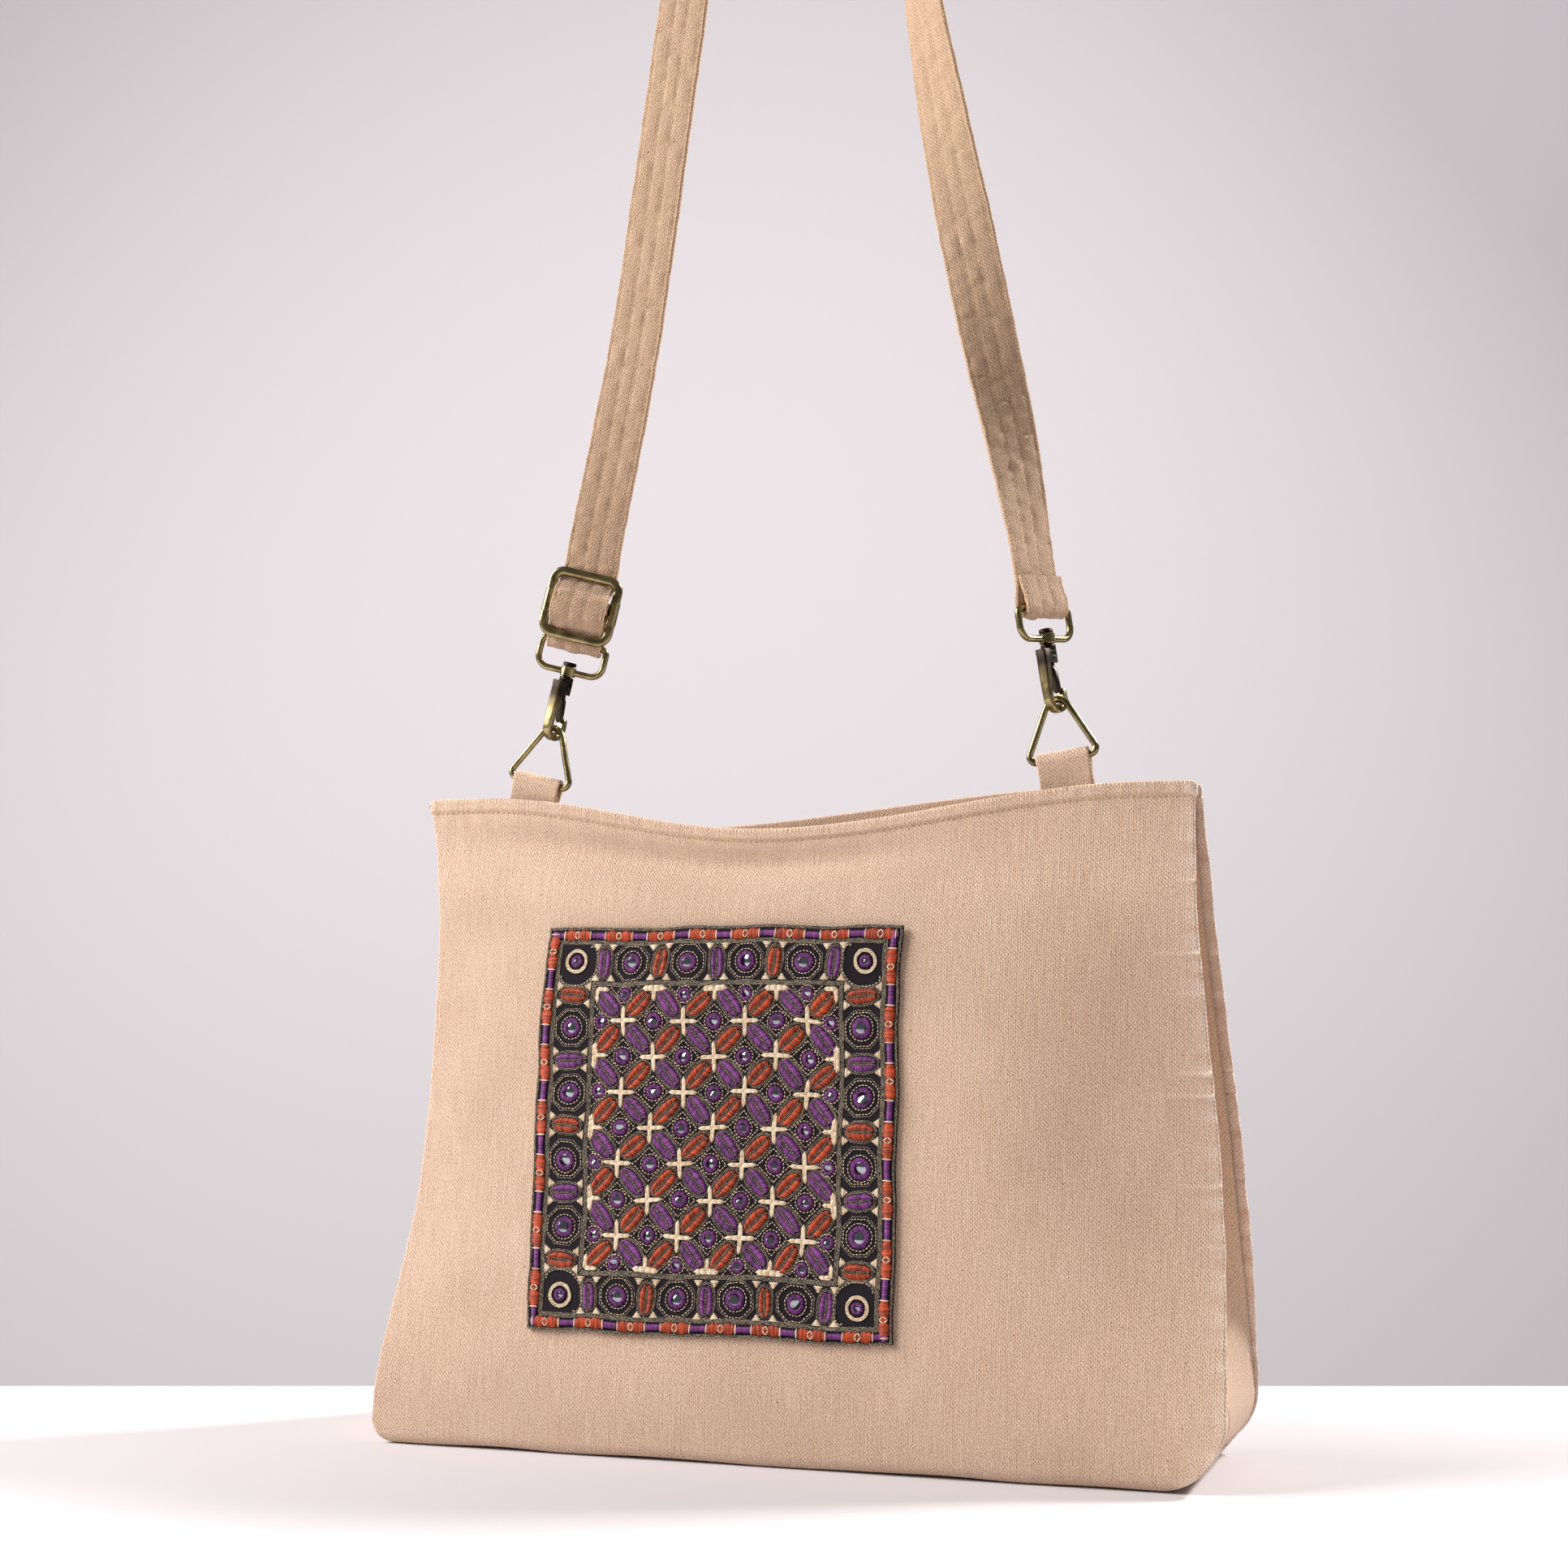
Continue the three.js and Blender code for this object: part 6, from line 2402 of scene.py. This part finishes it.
    def line_chart(self) -> None:
        """Charts the chained lines that part the field, the border and the band."""
        lines = ((self.field_half, (0.5, 1.5)), (self.frame_half, (0.0, 1.0)), (self.edge_half, (0.0,)))
        for half, gaps in lines:
            for gap in gaps:
                self.chain(Thread.LINE, rectangle(half[0] + gap, half[1] + gap), True, 0.26, 1.5)

    def ground(self, material: bpy.types.Material) -> bpy.types.Object:
        """Makes the black ground that carries the work."""
        insets = (0.0, 0.1, 0.3, 0.7, 1.3)
        spans = [edged(half, insets, 2.4, 60) for half in (self.half_width, self.half_height)]
        u, v = np.meshgrid(*spans, indexing="ij")
        edge = np.minimum(self.half_width - np.abs(u), self.half_height - np.abs(v))
        pinch = (1 - rounded(edge, 0.7)) * (self.thick / 2 - 0.04)
        flat = np.stack((u, v), -1)
        skin = Skin().sheet(self.on_front(flat, -pinch), self.on_front(flat, pinch - self.thick), flat, 400.0)
        made = settle(skin.shape("patch_ground", material), "root", Slot.EMBROIDERY, "embroidered_patch")
        return Cut(0.168, 0.176, 0.0295, "stretched", ("front_panel",)).declare(made)

    def discs(self, material: bpy.types.Material) -> bpy.types.Object:
        """Makes the mirrors, each tilted a little."""
        skin = Skin()
        for centre, radius in self.mirrors:
            spot = self.on_front(centre[None], 0.0)[0]
            out = unit(self.normal(centre[None])[0] + self.draw.normal(0, 0.2, 3))
            right = unit(np.cross(out, np.array((0.0, 0.0, 1.0))))
            turn = np.stack((right, np.cross(out, right), out), -1)
            disc = turned_post(((radius, -0.3), (radius, 0.25), (radius - 0.12, 0.32)), 20)
            skin.loft(disc @ turn.T + spot)
        return settle(skin.shape("patch_mirrors", material), "root", Slot.EMBROIDERY)

    def build(self) -> list[bpy.types.Object]:
        """Charts the whole pattern and makes the patch's pieces.

        Returns:
            The pieces.
        """
        self.field_chart()
        self.border_chart()
        self.band_chart()
        self.line_chart()
        satin = Stitcher(5, 4, 1.35, 0.8)
        fine = Stitcher(4, 3, 0.2, 0.8)
        purple = ThreadFinish("purple_thread", srgb("96409A"), srgb("1C0622"), 0.5, 0.0).material()
        rust = ThreadFinish("rust_thread", srgb("D8521C"), srgb("4A1004"), 0.5, 0.0).material()
        cream = ThreadFinish("cream_thread", srgb("E8D6B8"), srgb("B8956C")).material()
        taupe = ThreadFinish("taupe_thread", srgb("A08F72"), srgb("3A3226"), 0.7).material()
        plan = {
            Thread.PURPLE_SATIN: (satin, purple),
            Thread.RUST_SATIN: (satin, rust),
            Thread.PURPLE_RING: (Stitcher(4, 4, 0.75, 0.85), purple),
            Thread.CREAM: (Stitcher(6, 5, 0.25, 0.8), cream),
            Thread.DASH: (Stitcher(5, 4, 0.4, 0.85), cream),
            Thread.TAUPE: (fine, taupe),
            Thread.LINE: (fine, taupe),
        }
        pieces = [self.ground(GroundFinish("patch_cotton").material())]
        pieces.append(self.discs(MirrorFinish("mirror").material()))
        for thread, (stitcher, material) in plan.items():
            made = stitcher.lay(f"patch_{thread.value}", self.charted[thread], material)
            pieces.append(settle(made, "root", Slot.EMBROIDERY))
        return pieces


# Stage


@dataclass(frozen=True)
class StudioCamera:
    """The camera, placed in the bag's own frame."""

    eye: Spot = (344.2, -1055.6, 202.0)
    yaw: float = 18.55
    pitch: float = 4.71
    focal: float = 3048.56
    picture: float = 1932.0
    sensor: float = 36.0

    def heading(self) -> Array:
        """Gives the level direction in which the camera looks."""
        turn = math.radians(self.yaw)
        return np.array((-math.sin(turn), math.cos(turn), 0.0))

    def build(self) -> bpy.types.Object:
        """Makes the camera and hands it to the scene.

        Returns:
            The camera.
        """
        rise = math.radians(self.pitch)
        ahead = self.heading() * math.cos(rise) + np.array((0, 0, math.sin(rise)))
        data = bpy.data.cameras.new("camera")
        data.sensor_width = self.sensor
        data.lens = self.focal / self.picture * self.sensor
        data.clip_start = 0.01
        camera = linked("camera", data)
        camera.location = BAG_ZERO + np.array(self.eye) * MILLIMETRE
        camera.rotation_euler = Vector(ahead).to_track_quat("-Z", "Y").to_euler()
        bpy.context.scene.camera = camera
        return camera


class Lamp(NamedTuple):
    """A soft square lamp, with its place and aim in metres right of, ahead of and above the bag's zero."""

    name: str
    place: Spot
    aim: Spot
    size: float
    power: float
    tint: tuple[float, float, float] = (1.0, 0.98, 0.98)


@dataclass(frozen=True)
class Stage:
    """A pale table top that ends behind the bag, a plain wall and soft lights, all square to the camera."""

    camera: StudioCamera
    table_back: float = 0.17
    table_front: float = 3.2
    table_half: float = 3.0
    table_thick: float = 0.03
    wall_back: float = 2.5
    wall_half: float = 6.0
    wall_low: float = -2.0
    wall_high: float = 4.5
    table: Colour = srgb("D2CDCF")
    wall: Colour = srgb("E2DDE0")
    world: Colour = srgb("E4E1E6")
    world_strength: float = 0.2
    lamps: tuple[Lamp, ...] = (
        Lamp("key", (-1.7, -0.2, 1.3), (0.0, 0.0, 0.15), 1.3, 75.0, (1.0, 0.98, 0.97)),
        Lamp("back", (1.5, 0.4, 1.5), (0.0, 0.0, 0.15), 0.35, 58.0, (1.0, 0.98, 0.97)),
        Lamp("wall_left", (-1.4, 0.4, 0.4), (-1.4, 2.5, -0.1), 1.6, 10.0),
        Lamp("wall_right", (0.9, 0.4, 2.2), (0.9, 2.5, 1.7), 1.8, 18.0),
    )

    def spot(self, right: float, forward: float, up: float) -> Array:
        """Gives a place that lies right of, ahead of and above the bag's zero, as the camera looks."""
        ahead = self.camera.heading()
        aside = np.array((ahead[1], -ahead[0], 0.0))
        return BAG_ZERO + aside * right + ahead * forward + np.array((0, 0, up))

    def slab(self, name: str, spans: Sequence[tuple[float, float]], colour: Colour) -> bpy.types.Object:
        """Makes a box square to the camera.

        Args:
            name: The box's name.
            spans: Low and high ends to the right, ahead and up, in metres from the bag's zero.
            colour: Its finish's colour.
        Returns:
            The box, marked as stage.
        """
        corners = [tuple(self.spot(x, y, z)) for x in spans[0] for y in spans[1] for z in spans[2]]
        sides = [(0, 1, 3, 2), (4, 6, 7, 5), (0, 4, 5, 1), (2, 3, 7, 6), (0, 2, 6, 4), (1, 5, 7, 3)]
        mesh = bpy.data.meshes.new(name)
        mesh.from_pydata(corners, [], sides)
        matt = {"Base Color": colour, "Roughness": 0.9, "Specular IOR Level": 0.1}
        mesh.materials.append(Shader(f"{name}_finish").finish(matt))
        box = linked(name, mesh)
        return box

    def build(self) -> None:
        """Makes the table, the wall, the lamps and the world's light."""
        self.slab(
            "table_top",
            (
                (-self.table_half, self.table_half),
                (-self.table_front, self.table_back),
                (-self.table_thick, 0),
            ),
            self.table,
        )
        self.slab(
            "plain_wall",
            (
                (-self.wall_half, self.wall_half),
                (self.wall_back, self.wall_back + self.table_thick),
                (self.wall_low, self.wall_high),
            ),
            self.wall,
        )
        for lamp in self.lamps:
            place = self.spot(*lamp.place)
            aim = self.spot(*lamp.aim)
            data = bpy.data.lights.new(lamp.name, "AREA")
            data.size = lamp.size
            data.energy = lamp.power
            data.color = lamp.tint
            light = linked(lamp.name, data)
            light.location = place
            light.rotation_euler = Vector(aim - place).to_track_quat("-Z", "Y").to_euler()
        world = bpy.data.worlds.new("soft_room")
        world.use_nodes = True
        background = world.node_tree.nodes["Background"]
        background.inputs["Color"].default_value = self.world
        background.inputs["Strength"].default_value = self.world_strength
        scene = bpy.context.scene
        scene.world = world
        scene.view_settings.view_transform = "Standard"


def main() -> None:
    """Builds the stage and the bag, sub-assembly by sub-assembly."""
    logging.basicConfig(level=logging.INFO, format="%(name)s: %(message)s")
    camera = StudioCamera()
    camera.build()
    Stage(camera).build()
    form = BagForm()
    seam_thread = ThreadFinish("seam_thread", srgb("E0BE8C"), srgb("B08A58"))
    ClothBody(form, TwillFinish("body_twill"), seam_thread).build()
    MirrorPatch(form).build()
    # The strap's twill is a darker copy of the body's: painted shade, standing in for shade that the lamps
    # don't put on the strap.
    Strap(TwillFinish("strap_twill", srgb("E4C3A2"), srgb("885E3C"), lean=-1.0), seam_thread).build()
    brass = MetalFinish("antique_brass", srgb("B8A878"), srgb("6C5E40"), 0.17, 0.32).material()
    blackened = MetalFinish("blackened_brass", srgb("4A4038"), srgb("1E1A18"), 0.28, 0.45).material()
    tab_twill = TwillFinish("tab_twill").material()
    for hang in (LEFT_HANG, RIGHT_HANG):
        Tab(hang, tab_twill).build()
        SnapHook(hang, brass, blackened).build()
    Slider(LEFT_HANG, brass).build()


if __name__ == "__main__":
    main()
